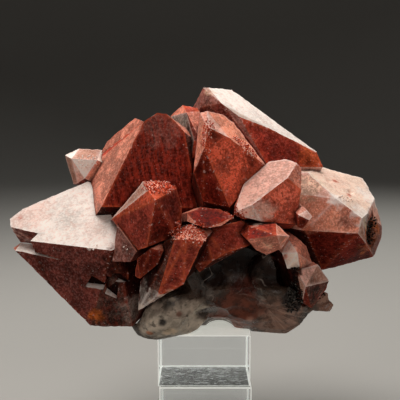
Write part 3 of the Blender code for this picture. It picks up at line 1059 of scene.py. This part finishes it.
@dataclass
class CrystalCluster:
    """The red crystals: flat faces of many finishes with worn, glowing ridges. Lengths are in millimetres."""

    node: str = "crystal_cluster"
    flat_angle: float = 9.0  # degrees; triangles turned less than this belong to one crystal face
    ridge_angle: float = 10.0
    valley_angle: float = 28.0
    crease_angle: float = 14.0
    finish_changes: float = 60.0  # of the random shift between two usual finishes, per metre
    front_lean: float = 0.45  # faces in front that lean upward more than this get a warmer finish
    front_start: float = -12.0
    mesh_size: float = 2.4
    patch_size: float = 1.3  # mesh size in the patches
    patch_reach: float = 1.2  # how far from a patch's middle that goes, in radii
    line_size: float = 0.9  # mesh size beside ridges and valleys
    line_reach: float = 0.8
    line_step: float = 0.4  # between the points that mark a line
    patch_wobble: float = 2.2
    ridge_width: float = 0.5
    halo_width: float = 2.4
    valley_width: float = 0.8
    wear: float = 0.28
    wear_size: float = 2.2
    wear_spread: float = 0.35  # the more, the less of a ridge stays sharp
    relief: float = 0.16
    relief_size: float = 9.0
    regions: dict[int, Finish] = field(default_factory=dict)

    def build(self, material: bpy.types.Material) -> bpy.types.Object:
        """Builds and dresses the cluster.

        Args:
            material: the finish of the crystals.

        Returns:
            The finished piece.
        """
        bm = merged_copy(self.node)
        layer = bm.faces.layers.int.new("region")
        self.mark_faces(bm, layer)
        ridges, valleys = self.find_lines(bm)
        tessellate(bm, self.mesh_size * MM)
        self.refine(bm, (ridges, valleys))
        near = {vert: self.nearness(vert.co, ridges, valleys) for vert in bm.verts}
        bm.normal_update()
        self.weather(bm, near)
        bm.verts.index_update()
        lines = np.array([(*near[vert], 1.0) for vert in bm.verts], np.float32)
        finishes = [self.regions[face[layer]] for face in bm.faces]
        mesh = to_mesh(bm, "crystals")
        self.paint(mesh, finishes, lines)
        mesh.shade_smooth()
        mesh.set_sharp_from_angle(angle=math.radians(self.crease_angle))
        piece = finished("crystals", mesh, material)
        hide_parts(self.node)
        return piece

    def mark_faces(self, bm: bmesh.types.BMesh, layer: object) -> None:
        """Numbers the flat crystal faces and picks each one's finish.

        Args:
            bm: the joined mesh.
            layer: the face layer that gets the numbers.
        """
        limit = math.cos(math.radians(self.flat_angle))
        for seed in sorted(bm.faces, key=lambda face: -face.calc_area()):
            if seed[layer]:
                continue
            number = len(self.regions) + 1
            self.regions[number] = self.common_finish(seed)
            seed[layer] = number
            stack = [seed]
            while stack:
                face = stack.pop()
                for other in (other for edge in face.edges for other in edge.link_faces):
                    if not other[layer] and other.normal.dot(seed.normal) > limit:
                        other[layer] = number
                        stack.append(other)
        for at, finish in (named for faces in FACES.values() for named in faces.values()):
            spot = Vector(at) * MM
            face = min(bm.faces, key=lambda f: self.gap_to(f, spot))
            self.regions[face[layer]] = finish

    @staticmethod
    def gap_to(face: bmesh.types.BMFace, spot: Vector) -> float:
        """Measures how far a place is from a triangle.

        Args:
            face: the triangle.
            spot: the place.

        Returns:
            The distance.
        """
        corners = [vert.co for vert in face.verts]
        sides = list(zip(corners, corners[1:] + corners[:1]))
        flat = spot - face.normal * face.normal.dot(spot - corners[0])
        if all((b - a).cross(flat - a).dot(face.normal) >= -1e-9 for a, b in sides):
            return (spot - flat).length
        gaps = []
        for a, b in sides:
            along = max(0.0, min(1.0, (spot - a).dot(b - a) / max((b - a).length_squared, 1e-12)))
            gaps.append((a + (b - a) * along - spot).length)
        return min(gaps)

    def common_finish(self, face: bmesh.types.BMFace) -> Finish:
        """Picks a face's usual finish from the way it looks: frosted above, with painted sheen of the light
        overhead, red at the sides, and dark below as painted shade.

        Args:
            face: a triangle of the face.

        Returns:
            The finish.
        """
        centre = face.calc_center_median()
        shift = noise.noise(centre * self.finish_changes)
        leans_forward = face.normal.z > self.front_lean and centre.y < self.front_start * MM
        if leans_forward:
            return CORAL if shift > 0.0 else SALMON
        for least_up, least_shift, usual, other in COMMON_FINISHES:
            if face.normal.z > least_up:
                return usual if shift > least_shift else other

    def find_lines(self, bm: bmesh.types.BMesh) -> tuple[KDTree, KDTree]:
        """Samples the mesh's ridges and valleys.

        Args:
            bm: the joined mesh.

        Returns:
            Search trees of points on the ridges and in the valleys.
        """
        found: tuple[list[Vector], list[Vector]] = ([], [])
        for edge in bm.edges:
            least = self.ridge_angle if edge.is_convex else self.valley_angle
            if len(edge.link_faces) != 2 or edge.calc_face_angle(0.0) < math.radians(least):
                continue
            steps = max(2, int(edge.calc_length() / (self.line_step * MM)))
            start, end = (vert.co for vert in edge.verts)
            found[0 if edge.is_convex else 1].extend(start.lerp(end, i / steps) for i in range(steps + 1))
        trees = []
        for points in found:
            tree = KDTree(len(points))
            for index, point in enumerate(points):
                tree.insert(point, index)
            tree.balance()
            trees.append(tree)
        return trees[0], trees[1]

    def refine(self, bm: bmesh.types.BMesh, trees: tuple[KDTree, KDTree], rounds: int = 3) -> None:
        """Splits the longer edges beside the lines and in the patches, so that both are drawn finely.

        Args:
            bm: the mesh, changed in place.
            trees: search trees of the ridges and valleys.
            rounds: the passes made.
        """
        for _ in range(rounds):
            edges = [edge for edge in bm.edges if edge.calc_length() > self.line_size * MM]
            middles = [(edge.verts[0].co + edge.verts[1].co) / 2.0 for edge in edges]
            spots = np.array(middles) / MM
            patched = np.zeros(len(edges), bool)
            for patch in PATCHES:
                patched |= patch.gap(spots) < self.patch_reach
            chosen = []
            for edge, middle, inside in zip(edges, middles, patched):
                wide = inside and edge.calc_length() > self.patch_size * MM
                if wide or any(tree.find(middle)[2] < self.line_reach * MM for tree in trees):
                    chosen.append(edge)
            split(bm, chosen)

    def nearness(self, place: Vector, ridges: KDTree, valleys: KDTree) -> Near:
        """Measures how near a place is to the lines.

        Args:
            place: the place.
            ridges: search tree of the ridges.
            valleys: search tree of the valleys.

        Returns:
            Nearness to a ridge, to a valley, and broadly to a ridge, each from zero to one.
        """
        ridge, valley = (tree.find(place)[2] / MM for tree in (ridges, valleys))
        close = math.exp(-((ridge / self.ridge_width) ** 2))
        return close, math.exp(-valley / self.valley_width), math.exp(-ridge / self.halo_width)

    def weather(self, bm: bmesh.types.BMesh, near: dict[bmesh.types.BMVert, Near]) -> None:
        """Wears the ridges down here and there and gives the faces their shallow growth relief.

        Args:
            bm: the mesh, changed in place.
            near: nearness to ridges and valleys of each vertex.
        """
        moves = []
        for vert in bm.verts:
            ridge = near[vert][0]
            worn = ridge * max(0.0, fractal(vert.co, self.wear_size) + self.wear_spread) * self.wear
            grown = (0.5 + 0.5 * fractal(vert.co, self.relief_size)) * self.relief * (1.0 - ridge)
            deep = max(pocket.depth_at(vert.co / MM) for pocket in POCKETS)
            moves.append((vert, vert.normal * -(worn + max(0.0, grown) + deep) * MM))
        for vert, move in moves:
            vert.co += move

    def paint(self, mesh: bpy.types.Mesh, finishes: list[Finish], lines: np.ndarray) -> None:
        """Writes the colour attributes that the finish reads.

        Args:
            mesh: the mesh that gets them.
            finishes: each triangle's finish.
            lines: ridge and valley nearness of each vertex.
        """
        vertex = np.zeros(len(mesh.loops), np.int32)
        mesh.loops.foreach_get("vertex_index", vertex)
        tints, looks = (
            np.repeat(np.array(values, np.float32), 3, axis=0)
            for values in (
                [linear(f.tint.value) for f in finishes],
                [(f.frost, f.streaks, f.blotches, f.glow) for f in finishes],
            )
        )
        places = corners_mm(mesh)
        wobble = fractals(places, self.patch_wobble)
        for patch in PATCHES:
            amount = patch.cover(places, wobble, ragged=0.55, steep=2.8)[vertex, None]
            tints += (np.array(linear(patch.tint.value)) - tints) * amount
            looks[:, :1] += (patch.frost - looks[:, :1]) * amount
        write_colours(mesh, "CORNER", tint=tints, look=looks)
        write_colours(mesh, "POINT", lines=lines)


# ---------------------------------------------------------------- the druse


class Crust(Enum):
    """The kinds of small crystals that grew on the large ones."""

    RED = SugarQuartz("red druse quartz", "C64A2C", "FFE2D2")
    WHITE = SugarQuartz("white druse quartz", "F2DCD0", "FFFAF5", spacing=0.95)
    BLACK = SugarQuartz("specular hematite crystals", "24201D", "8A8178", metallic=0.8)


@dataclass(frozen=True)
class DruseBed:
    """A spot on the stone where small crystals grew: its centre and reach, in millimetres."""

    name: str
    at: Place
    reach: Place
    crust: Crust = Crust.RED


DRUSE_BEDS = (
    DruseBed("cap of the front point", (-13.5, -40, 91.3), (6, 5, 2.6)),
    DruseBed("top of the sugared point", (-4.5, -42, 77), (6.5, 6.5, 3.0)),
    DruseBed("ridge of the middle point", (0.2, -26, 104), (1.3, 6, 8)),
    DruseBed("tip of the middle point", (0.8, -25.5, 109.3), (1.8, 2.2, 2.2)),
    DruseBed("glints on the left point's edge", (-36, -30.9, 70.2), (1.7, 1.6, 1.2), Crust.WHITE),
    DruseBed("glints left of the front point", (-25, -36.4, 71.5), (1.1, 1.2, 0.8), Crust.WHITE),
    DruseBed("crystals on the scar", (16, -33.6, 82.2), (2.2, 2.0, 1.5), Crust.WHITE),
    DruseBed("glints on the crest of the right point", (48, -16, 84), (6.0, 2.0, 1.0), Crust.WHITE),
    DruseBed("right edge of the middle point", (13.5, -22, 102.5), (5.5, 2.0, 5.0)),
    DruseBed("seam left of the right middle point", (9.5, -33, 81), (3.0, 3.5, 2.6)),
    DruseBed("back hollow left", (-14, 18, 88), (8, 9, 8)),
    DruseBed("left back point", (-41, -5, 96), (3.5, 4, 2.5), Crust.WHITE),
    DruseBed("back hollow right", (18, 22, 84), (9, 8, 7), Crust.WHITE),
    DruseBed("pocket of the right point", (55.8, -12.5, 72.8), (4.2, 5.0, 4.6), Crust.BLACK),
    DruseBed("notch on the lower right", (28.2, -29.5, 62.5), (2.0, 2.5, 1.3), Crust.BLACK),
    DruseBed("knob on the base", (29, -27, 52.5), (2.9, 5, 6.0), Crust.BLACK),
    DruseBed("hollow in the clear chip", (39.5, -20, 51), (2.0, 3, 2.4), Crust.BLACK),
    DruseBed("seam under the right middle point", (24, -30, 76), (3, 3, 1.5), Crust.BLACK),
)


@dataclass
class Druse:
    """Crusts of tiny quartz points scattered over chosen spots of the stone. Lengths are in millimetres."""

    size: float = 0.56
    seed: int = 11
    closest: float = 0.5  # between points where they stand closest
    ragged: float = 0.35  # how far the rim of a bed wanders
    wander: float = 0.7  # how often it does so in a millimetre

    def tree(self) -> bpy.types.GeometryNodeTree:
        """Builds the node tree that covers a surface with small six-sided points.

        Returns:
            The tree.
        """
        tree = bpy.data.node_groups.new("druse", "GeometryNodeTree")
        kinds = {"Bed": "Geometry", "Spacing": "Float", "Size": "Float", "Seed": "Int", "Finish": "Material"}
        for name, kind in kinds.items():
            tree.interface.new_socket(name=name, in_out="INPUT", socket_type=f"NodeSocket{kind}")
        tree.interface.new_socket(name="Druse", in_out="OUTPUT", socket_type="NodeSocketGeometry")
        given = add_node(tree, "NodeGroupInput").outputs
        spread = {
            "Mesh": given["Bed"],
            "Distance Min": given["Spacing"],
            "Density Max": 1.0 / (self.closest * MM) ** 2,
            "Seed": given["Seed"],
        }
        scatter = add_node(tree, "GeometryNodeDistributePointsOnFaces", spread, distribute_method="POISSON")
        tip = {"Vertices": 6, "Radius Top": 0.0, "Radius Bottom": 0.5, "Depth": 0.7}
        cone = add_node(tree, "GeometryNodeMeshCone", tip)
        prism = add_node(tree, "GeometryNodeMeshCylinder", {"Vertices": 6, "Radius": 0.5, "Depth": 0.8})
        lift = {"Geometry": cone.outputs["Mesh"], "Translation": (0.0, 0.0, 0.4)}
        raised = add_node(tree, "GeometryNodeTransform", lift)
        point = add_node(tree, "GeometryNodeJoinGeometry", {0: prism.outputs["Mesh"]})
        feed(point, {0: raised.outputs["Geometry"]})
        lean = {"Min": (-0.7, -0.7, -3.1), "Max": (0.7, 0.7, 3.1), "Seed": given["Seed"]}
        tilt = add_node(tree, "FunctionNodeRandomValue", lean, data_type="FLOAT_VECTOR")
        least_most = {2: 0.45, 3: 1.25, "Seed": given["Seed"]}
        scale = add_node(tree, "FunctionNodeRandomValue", least_most, data_type="FLOAT")
        product = {0: scale.outputs[1], 1: given["Size"]}
        sized = add_node(tree, "ShaderNodeMath", product, operation="MULTIPLY")
        stand = {
            "Points": scatter.outputs["Points"],
            "Instance": point.outputs["Geometry"],
            "Rotation": scatter.outputs["Rotation"],
            "Scale": sized.outputs[0],
        }
        placed = add_node(tree, "GeometryNodeInstanceOnPoints", stand)
        turn = {"Instances": placed.outputs["Instances"], "Rotation": tilt.outputs[0]}
        turned = add_node(tree, "GeometryNodeRotateInstances", turn)
        real = add_node(tree, "GeometryNodeRealizeInstances", {0: turned.outputs["Instances"]})
        dress = {"Geometry": real.outputs[0], "Material": given["Finish"]}
        dressed = add_node(tree, "GeometryNodeSetMaterial", dress)
        add_node(tree, "NodeGroupOutput", {"Druse": dressed.outputs["Geometry"]})
        return tree

    def bed(self, grounds: tuple[bpy.types.Mesh, ...], beds: tuple[DruseBed, ...]) -> bpy.types.Mesh:
        """Copies the triangles of the stone that lie in the druse's spots.

        Args:
            grounds: the meshes that it may grow on.
            beds: the spots.

        Returns:
            A mesh of those triangles.
        """
        bm = bmesh.new()
        for ground in grounds:
            bm.from_mesh(ground)
        bare = []
        for face in bm.faces:
            centre = face.calc_center_median() / MM
            rim = 1.0 + self.ragged * noise.noise(centre * self.wander)
            if all(gap_in(spot, centre) >= rim for spot in beds):
                bare.append(face)
        bmesh.ops.delete(bm, geom=bare, context="FACES")
        return to_mesh(bm, "druse bed")

    def build(self, grounds: tuple[bpy.types.Mesh, ...]) -> None:
        """Grows the druse on the stone, one piece for each kind.

        Args:
            grounds: the meshes that it may grow on.
        """
        tree = self.tree()
        names = {item.name: item.identifier for item in tree.interface.items_tree if item.in_out == "INPUT"}
        for number, crust in enumerate(Crust):
            beds = tuple(spot for spot in DRUSE_BEDS if spot.crust is crust)
            material = crust.value.make()
            holder = add_object("druse holder", self.bed(grounds, beds))
            grower = holder.modifiers.new("druse", "NODES")
            grower.node_group = tree
            grower[names["Spacing"]] = crust.value.spacing * MM
            grower[names["Size"]] = self.size * MM
            grower[names["Seed"]] = self.seed + number
            grower[names["Finish"]] = material
            finished(f"{crust.name.lower()}_druse", settled(holder), material)


# ---------------------------------------------------------------- the base


@dataclass(frozen=True)
class Scar:
    """One shell-shaped break, in millimetres: where it starts, which way it faces, its bend and its depth."""

    at: Place
    facing: Place
    bend: float
    depth: float
    ripple: float = 0.1


@dataclass
class QuartzBase:
    """The broken clear quartz under the crystals. Lengths are in millimetres."""

    node: str = "quartz_matrix"
    voxel: float = 0.45
    smoothing: float = 0.5
    smoothing_rounds: int = 4
    relief: float = 0.35
    relief_size: float = 6.0
    scar_count: int = 46
    seed: int = 5
    ripple_spacing: float = 1.7
    seat_height: float = 3.5  # up to here nothing is broken off, so that the base still fits its seat
    seat_fade: float = 4.0
    bends: tuple[float, float] = (7.0, 16.0)  # least and most, of the random scars
    depths: tuple[float, float] = (0.6, 1.5)
    scar_lean: Place = (0.3, 0.2, 1.0)  # scars start square to this and to the way they face
    scar_start: float = 0.8  # from a scar's middle to where its ripples spread from, in half widths
    ripple_start: float = 0.4  # how far from there they begin, in half widths
    scar_limit: float = 2.5  # how far a scar pushes at most, in its depths
    hackle_depth: float = 0.35
    hackle_pitch: Place = (7.0, 0.05, 3.0)  # random changes per radian and per millimetre, and their seed
    hackle_gap: float = 2.6  # the more, the thinner the lines
    crease_angle: float = 38.0
    ground: str = "5F4C40"
    ground_milk: float = 0.35
    zone_wobble: float = 5.0
    fan_centre: Place = (19.5, -24.0, 49.0)
    fan_reach: float = 20.0
    fan_fade: float = 8.0  # over this it fades at its reach
    fan_heart: tuple[float, float] = (1.0, 3.0)  # nearest its centre that it starts, and over what
    fan_front: tuple[float, float] = (12.0, 6.0)  # how far forward it starts, and over what it fades in
    fan_turn: float = 0.7  # radians from straight right down to its middle
    fan_share: tuple[float, float] = (0.35, 8.0)  # of a half turn to each side, and how fast it fades there
    fan_unit: float = 50.0  # the distance that the fan's attribute counts as one
    scars: tuple[Scar, ...] = (
        Scar((-7, -23, 52), (-0.1, -1.0, 0.25), 13, 2.2),
        Scar((-13, -25, 44), (-0.3, -0.9, -0.2), 16, 1.0),
        Scar((11, -21, 47), (0.1, -1.0, -0.2), 20, 1.4, 0.05),
        Scar((11, -23, 60), (0.0, -1.0, 0.4), 18, 2.0, 0.02),
        Scar((25, -27, 47), (0.5, -0.9, -0.2), 14, 1.0),
        Scar((20, -26, 41), (0.2, -0.8, -0.6), 12, 1.0),
        Scar((41, -18, 49), (0.4, -0.9, 0.1), 8, 1.2),
    )
    zones: tuple[Patch, ...] = (
        Patch("rosy right lobe", (25, -25, 45), 11, Tint.TAWNY, 0.85, 0.8),
        Patch("rosy foot of the right lobe", (24, -15, 39), 9, Tint.TAWNY, 0.85, 0.85),
        Patch("pink edge of the right lobe", (30, -22, 39), 5, Tint.ROSE, 0.6, 0.8),
        Patch("brown heart", (10.5, -20.5, 47), 10, Tint.COCOA, 0.97, 0.75),
        Patch("brown soffit", (9, -14, 41), 9, Tint.COCOA, 0.97, 0.85),
        Patch("rosy spot in the heart", (15, -19, 41), 3.5, Tint.CLAY, 0.6, 0.8),
        Patch("grey left lobe", (-14, -25, 43), 13, Tint.STONE, 0.92, 0.9),
        Patch("grey neck of the lobe", (-4, -24, 45.5), 7, Tint.STONE, 0.9, 0.9),
        Patch("pale lip over the stand", (-5, -18, 40), 6, Tint.STONE, 0.85, 0.85),
        Patch("dark hole in the lobe", (-14.5, -24.5, 43.5), 2.0, Tint.PITCH, 0.9, 0.6),
        Patch("brown fleck on the lobe", (-9, -24, 47), 1.6, Tint.COCOA, 0.8, 0.8),
        Patch("cream foot of the lobe", (-12, -22, 39), 3.5, Tint.SAND, 0.6, 0.9),
        Patch("rust speck under the lobe", (-19, -21, 39), 1.6, Tint.RUST, 0.8, 0.8),
        Patch("red root of the heart", (12.5, -24, 57), 5, Tint.OXIDE, 0.7, 0.6),
        # painted shade: the hollow under the crystals, its left side and the cheek by the knob
        Patch("dark hollow", (12, -22, 67), 12, Tint.PITCH, 0.98, 0.75),
        Patch("dark left of the hollow", (3, -24, 60.5), 6, Tint.PITCH, 0.98, 0.75),
        Patch("dark cheek by the knob", (22, -22, 58), 6.5, Tint.PITCH, 0.95, 0.75),
        Patch("dark lens, lower end", (-12.5, -25, 51), 4.0, Tint.PITCH, 0.97, 0.5),
        Patch("dark lens, foot", (-9.5, -24.5, 50.8), 3.6, Tint.PITCH, 0.97, 0.5),
        Patch("dark lens, middle", (-7.5, -25, 53), 4.6, Tint.PITCH, 0.97, 0.5),
        Patch("dark lens, upper end", (-3, -25, 55.5), 4.2, Tint.PITCH, 0.97, 0.5),
        Patch("grey veil beside the lens", (0.5, -24, 54), 2.4, Tint.ASH, 0.6, 0.6),
        # painted shade under the left crystals
        Patch("dark wall under the left crystals", (-17, -24, 53), 5, Tint.PITCH, 0.8, 0.3),
        Patch("black knob", (29.5, -27, 53), 6.5, Tint.PITCH, 0.95, 0.6),
        Patch("clear chip", (42, -16, 49), 5.5, Tint.CLAY, 0.85, 0.4),
    )

    def build(self, material: bpy.types.Material) -> bpy.types.Object:
        """Builds and dresses the base.

        Args:
            material: the finish of the clear quartz.

        Returns:
            The finished piece.
        """
        holder = add_object("base holder", to_mesh(merged_copy(self.node), "rough base"))
        remesh = holder.modifiers.new("even grid", "REMESH")
        remesh.mode = "VOXEL"
        remesh.voxel_size = self.voxel * MM
        smooth = holder.modifiers.new("rounded breaks", "SMOOTH")
        smooth.factor = self.smoothing
        smooth.iterations = self.smoothing_rounds
        mesh = settled(holder)
        normals = np.array([vert.normal for vert in mesh.vertices])
        places = self.chip(corners_mm(mesh), normals)
        mesh.vertices.foreach_set("co", (places * MM).ravel())
        self.paint(mesh, places)
        mesh.shade_smooth()
        mesh.set_sharp_from_angle(angle=math.radians(self.crease_angle))
        piece = finished("quartz_base", mesh, material)
        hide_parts(self.node)
        return piece

    def chip(self, places: np.ndarray, normals: np.ndarray) -> np.ndarray:
        """Breaks shell-shaped chips off the surface and presses hackle lines into it.

        Args:
            places: the vertices in millimetres.
            normals: their normals.

        Returns:
            The new places.
        """
        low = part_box(self.node)[0].z / MM
        steady = np.clip((places[:, 2] - low - self.seat_height) / self.seat_fade, 0.0, 1.0)[:, None]
        draw = np.random.default_rng(self.seed)
        scars = list(self.scars)
        for index in draw.choice(len(places), self.scar_count, replace=False):
            bend = draw.uniform(*self.bends)
            scars.append(Scar(tuple(places[index]), tuple(normals[index]), bend, draw.uniform(*self.depths)))
        rough = fractals(places, self.relief_size)
        moved = places - normals * (np.clip(0.5 + 0.6 * rough, 0.0, 2.0) * self.relief)[:, None] * steady
        for scar in scars:
            facing = np.array(scar.facing) / np.linalg.norm(scar.facing)
            centre = np.array(scar.at) + facing * (scar.bend - scar.depth)
            arm = moved - centre
            reach = np.linalg.norm(arm, axis=1)
            width = math.sqrt(2.0 * scar.bend * scar.depth)
            start = np.array(scar.at) + np.cross(facing, self.scar_lean) * width * self.scar_start
            along = np.linalg.norm(moved - start, axis=1)
            wave = np.sin(along / self.ripple_spacing * math.tau + rough)
            radius = scar.bend + scar.ripple * wave * np.clip(along / width - self.ripple_start, 0.0, 1.0)
            push = np.clip(radius - reach, 0.0, self.scar_limit * scar.depth)
            moved += arm / np.maximum(reach, 1e-6)[:, None] * push[:, None] * steady
        angle, span, inside = self.fan(moved)
        per_radian, per_mm, seed = self.hackle_pitch
        rays = (noise.noise(Vector((a * per_radian, s * per_mm, seed))) for a, s in zip(angle, span))
        hackle = np.array([1.0 - abs(ray) * self.hackle_gap for ray in rays])
        pressed = np.clip(hackle, 0.0, 1.0) ** 2 * inside * self.hackle_depth
        return moved - normals * pressed[:, None] * steady

    def fan(self, places: np.ndarray) -> tuple[np.ndarray, np.ndarray, np.ndarray]:
        """Works out where places lie in the fan of hackle lines on the front.

        Args:
            places: the vertices in millimetres.

        Returns:
            The angle round the fan's centre, the distance from it, and how far the fan shows, zero to one.
        """
        arm = places - np.array(self.fan_centre)
        angle = np.arctan2(arm[:, 2], arm[:, 0])
        span = np.hypot(arm[:, 0], arm[:, 2])
        start, fade = self.fan_front
        front = np.clip((-places[:, 1] - start) / fade, 0.0, 1.0)
        start, fade = self.fan_heart
        inner = np.clip((span - start) / fade, 0.0, 1.0)
        inside = inner * np.clip((self.fan_reach - span) / self.fan_fade, 0.0, 1.0) * front
        share, steep = self.fan_share
        turned = np.clip((share - np.abs(angle + self.fan_turn) / math.pi) * steep, 0.0, 1.0)
        return angle, span, inside * turned

    def paint(self, mesh: bpy.types.Mesh, places: np.ndarray) -> None:
        """Writes the colour of the quartz at each vertex and its place in the fan of hackle lines.

        Args:
            mesh: the base's mesh.
            places: the vertices in millimetres.
        """
        wobble = fractals(places, self.zone_wobble)
        tints = np.tile(np.array((*linear(self.ground)[:3], self.ground_milk)), (len(places), 1))
        for zone in self.zones:
            amount = zone.cover(places, wobble, ragged=0.25, steep=3.0)[:, None]
            tints += (np.array((*linear(zone.tint.value)[:3], zone.frost)) - tints) * amount
        angle, span, inside = self.fan(places)
        fans = np.stack([angle / math.tau + 0.5, span / self.fan_unit, inside, np.ones(len(places))], axis=1)
        write_colours(mesh, "POINT", tint=tints, fan=fans)


# ---------------------------------------------------------------- the stand


@dataclass
class AcrylicStand:
    """Two clear blocks glued one on the other, with polished sides and sawn, glowing edges."""

    upper: str = "stand_upper_block"
    lower: str = "stand_lower_block"
    edge: float = 0.4  # millimetres taken off each edge

    def build(self) -> None:
        """Builds both blocks."""
        finishes = [ClearAcrylic(cut).make() for cut in AcrylicCut]
        for node in (self.upper, self.lower):
            low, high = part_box(node)
            bm = bmesh.new()
            bmesh.ops.create_cube(bm, size=1.0)
            for vert in bm.verts:
                vert.co = Vector(l if c < 0.0 else h for c, l, h in zip(vert.co, low, high))
            edge = self.edge * MM
            bmesh.ops.bevel(bm, geom=bm.edges[:], offset=edge, segments=2, profile=0.6, affect="EDGES")
            bmesh.ops.recalc_face_normals(bm, faces=bm.faces)
            mesh = to_mesh(bm, node)
            for finish in finishes:
                mesh.materials.append(finish)
            for face in mesh.polygons:
                cut = self.cut_of(face, node)
                face.material_index = list(AcrylicCut).index(cut)
                face.use_smooth = cut is AcrylicCut.SAWN
            piece = finished(node.replace("stand_", "acrylic_"), mesh, finishes[0])
            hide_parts(node)

    def cut_of(self, face: bpy.types.MeshPolygon, node: str) -> AcrylicCut:
        """Tells how a face of a block is finished.

        Args:
            face: the face.
            node: the block's CAD node.

        Returns:
            What was done to it.
        """
        if max(abs(c) for c in face.normal) < 0.99:
            return AcrylicCut.SAWN
        if face.normal.z > 0.9:
            # the upper block's top gets the sawn finish, whose glow is painted light that whitens it
            return AcrylicCut.SAWN if node == self.upper else AcrylicCut.GLUED
        return AcrylicCut.GLUED if face.normal.z < -0.9 and node == self.upper else AcrylicCut.POLISHED


# ---------------------------------------------------------------- the studio


@dataclass(frozen=True)
class Softbox:
    """One square soft light: where it hangs, where it points and its side, in millimetres, and its power."""

    name: str
    at: Place
    aim: Place
    side: float
    watts: float
    tint: str
    mirrored: bool = False  # whether glassy faces mirror it

    def hang(self) -> None:
        """Adds the light to the scene."""
        data = bpy.data.lights.new(self.name, "AREA")
        data.size = self.side * MM
        data.energy = self.watts
        data.color = linear(self.tint)[:3]
        lamp = add_object(self.name, data)
        lamp.visible_glossy = self.mirrored
        lamp.location = Vector(self.at) * MM
        lamp.rotation_euler = (Vector(self.aim) - Vector(self.at)).to_track_quat("-Z", "Y").to_euler()


@dataclass
class Studio:
    """Pale paper, large soft lights overhead and behind, two weak fills, and the camera in front."""

    target: Place = (-1.9, 0.0, 81.8)  # where the camera looks; this and its distance are in millimetres
    distance: float = 273.0
    lowered: float = 7.0  # degrees that the camera looks down
    lens: float = 68.85
    sensor: float = 36.0
    nearest: float = 10.0  # nothing closer to the camera is shown
    paper_radius: float = 0.9  # of the floor's flat part; the paper's sizes are in metres
    paper_curve: float = 0.6
    paper_height: float = 2.4
    air: str = "C9CBCC"
    air_strength: float = 0.03
    lights: tuple[Softbox, ...] = (
        Softbox("overhead softbox", (-90, 70, 470), (-10, -5, 80), 360, 2.1, "FFFAF5", mirrored=True),
        Softbox("back right softbox", (330, 420, 480), (10, 0, 90), 380, 1.5, "FFFDF8"),
        Softbox("front fill", (190, -620, 400), (5, 0, 80), 300, 0.95, "FFF6F0"),
        Softbox("left fill", (-480, -400, 190), (0, 0, 80), 300, 0.32, "FFF4EC"),
    )

    def build(self, paper: bpy.types.Material) -> None:
        """Builds the floor, the lights and the camera.

        Args:
            paper: the finish of the floor.
        """
        self.floor(paper)
        for light in self.lights:
            light.hang()
        world = bpy.data.worlds.new("studio air")
        world.use_nodes = True
        feed(world.node_tree.nodes["Background"], {"Color": linear(self.air), "Strength": self.air_strength})
        bpy.context.scene.world = world
        self.camera()

    def floor(self, paper: bpy.types.Material, turns: int = 16, turn: float = 6.0, steps: int = 96) -> None:
        """Lays the round floor of paper that curves up all round.

        Args:
            paper: its finish.
            turns: the places along its curve.
            turn: degrees from one of them to the next.
            steps: the steps round the floor.
        """
        bm = bmesh.new()
        outline = [(0.0, 0.0), (self.paper_radius / 2.0, 0.0)]
        for angle in (math.radians(turn * i) for i in range(turns)):
            rise = self.paper_curve * (1.0 - math.cos(angle))
            outline.append((self.paper_radius + self.paper_curve * math.sin(angle), rise))
        outline.append((self.paper_radius + self.paper_curve, self.paper_height))
        spots = [bm.verts.new((reach, 0.0, rise)) for reach, rise in outline]
        geometry = spots + [bm.edges.new(pair) for pair in zip(spots, spots[1:])]
        bmesh.ops.spin(bm, geom=geometry, axis=(0.0, 0.0, 1.0), angle=math.tau, steps=steps, use_merge=True)
        bmesh.ops.remove_doubles(bm, verts=bm.verts, dist=MM)
        bmesh.ops.recalc_face_normals(bm, faces=bm.faces)
        for face in bm.faces:
            face.smooth = True
        mesh = to_mesh(bm, "paper_floor")
        mesh.materials.append(paper)
        add_object("paper_floor", mesh)

    def camera(self) -> None:
        """Sets up the camera in front of the object, looking slightly down."""
        data = bpy.data.cameras.new("camera")
        data.lens = self.lens
        data.sensor_width = self.sensor
        data.clip_start = self.nearest * MM
        camera = add_object("camera", data)
        tilt = math.radians(self.lowered)
        back = Vector((0.0, -math.cos(tilt), math.sin(tilt))) * self.distance
        camera.location = (Vector(self.target) + back) * MM
        camera.rotation_euler = Euler((math.radians(90.0) - tilt, 0.0, 0.0))
        bpy.context.scene.camera = camera


def main() -> None:
    """Builds the dressed object and its studio."""
    logging.basicConfig(level=logging.INFO, format="%(message)s")
    bpy.context.scene.view_settings.view_transform = "Standard"
    crystals = CrystalCluster().build(HematoidQuartz().make())
    base = QuartzBase().build(ClearQuartz().make())
    Druse().build((crystals.data, base.data))
    AcrylicStand().build()
    Studio().build(StudioPaper().make())
    bpy.context.view_layer.update()


if __name__ == "__main__":
    main()
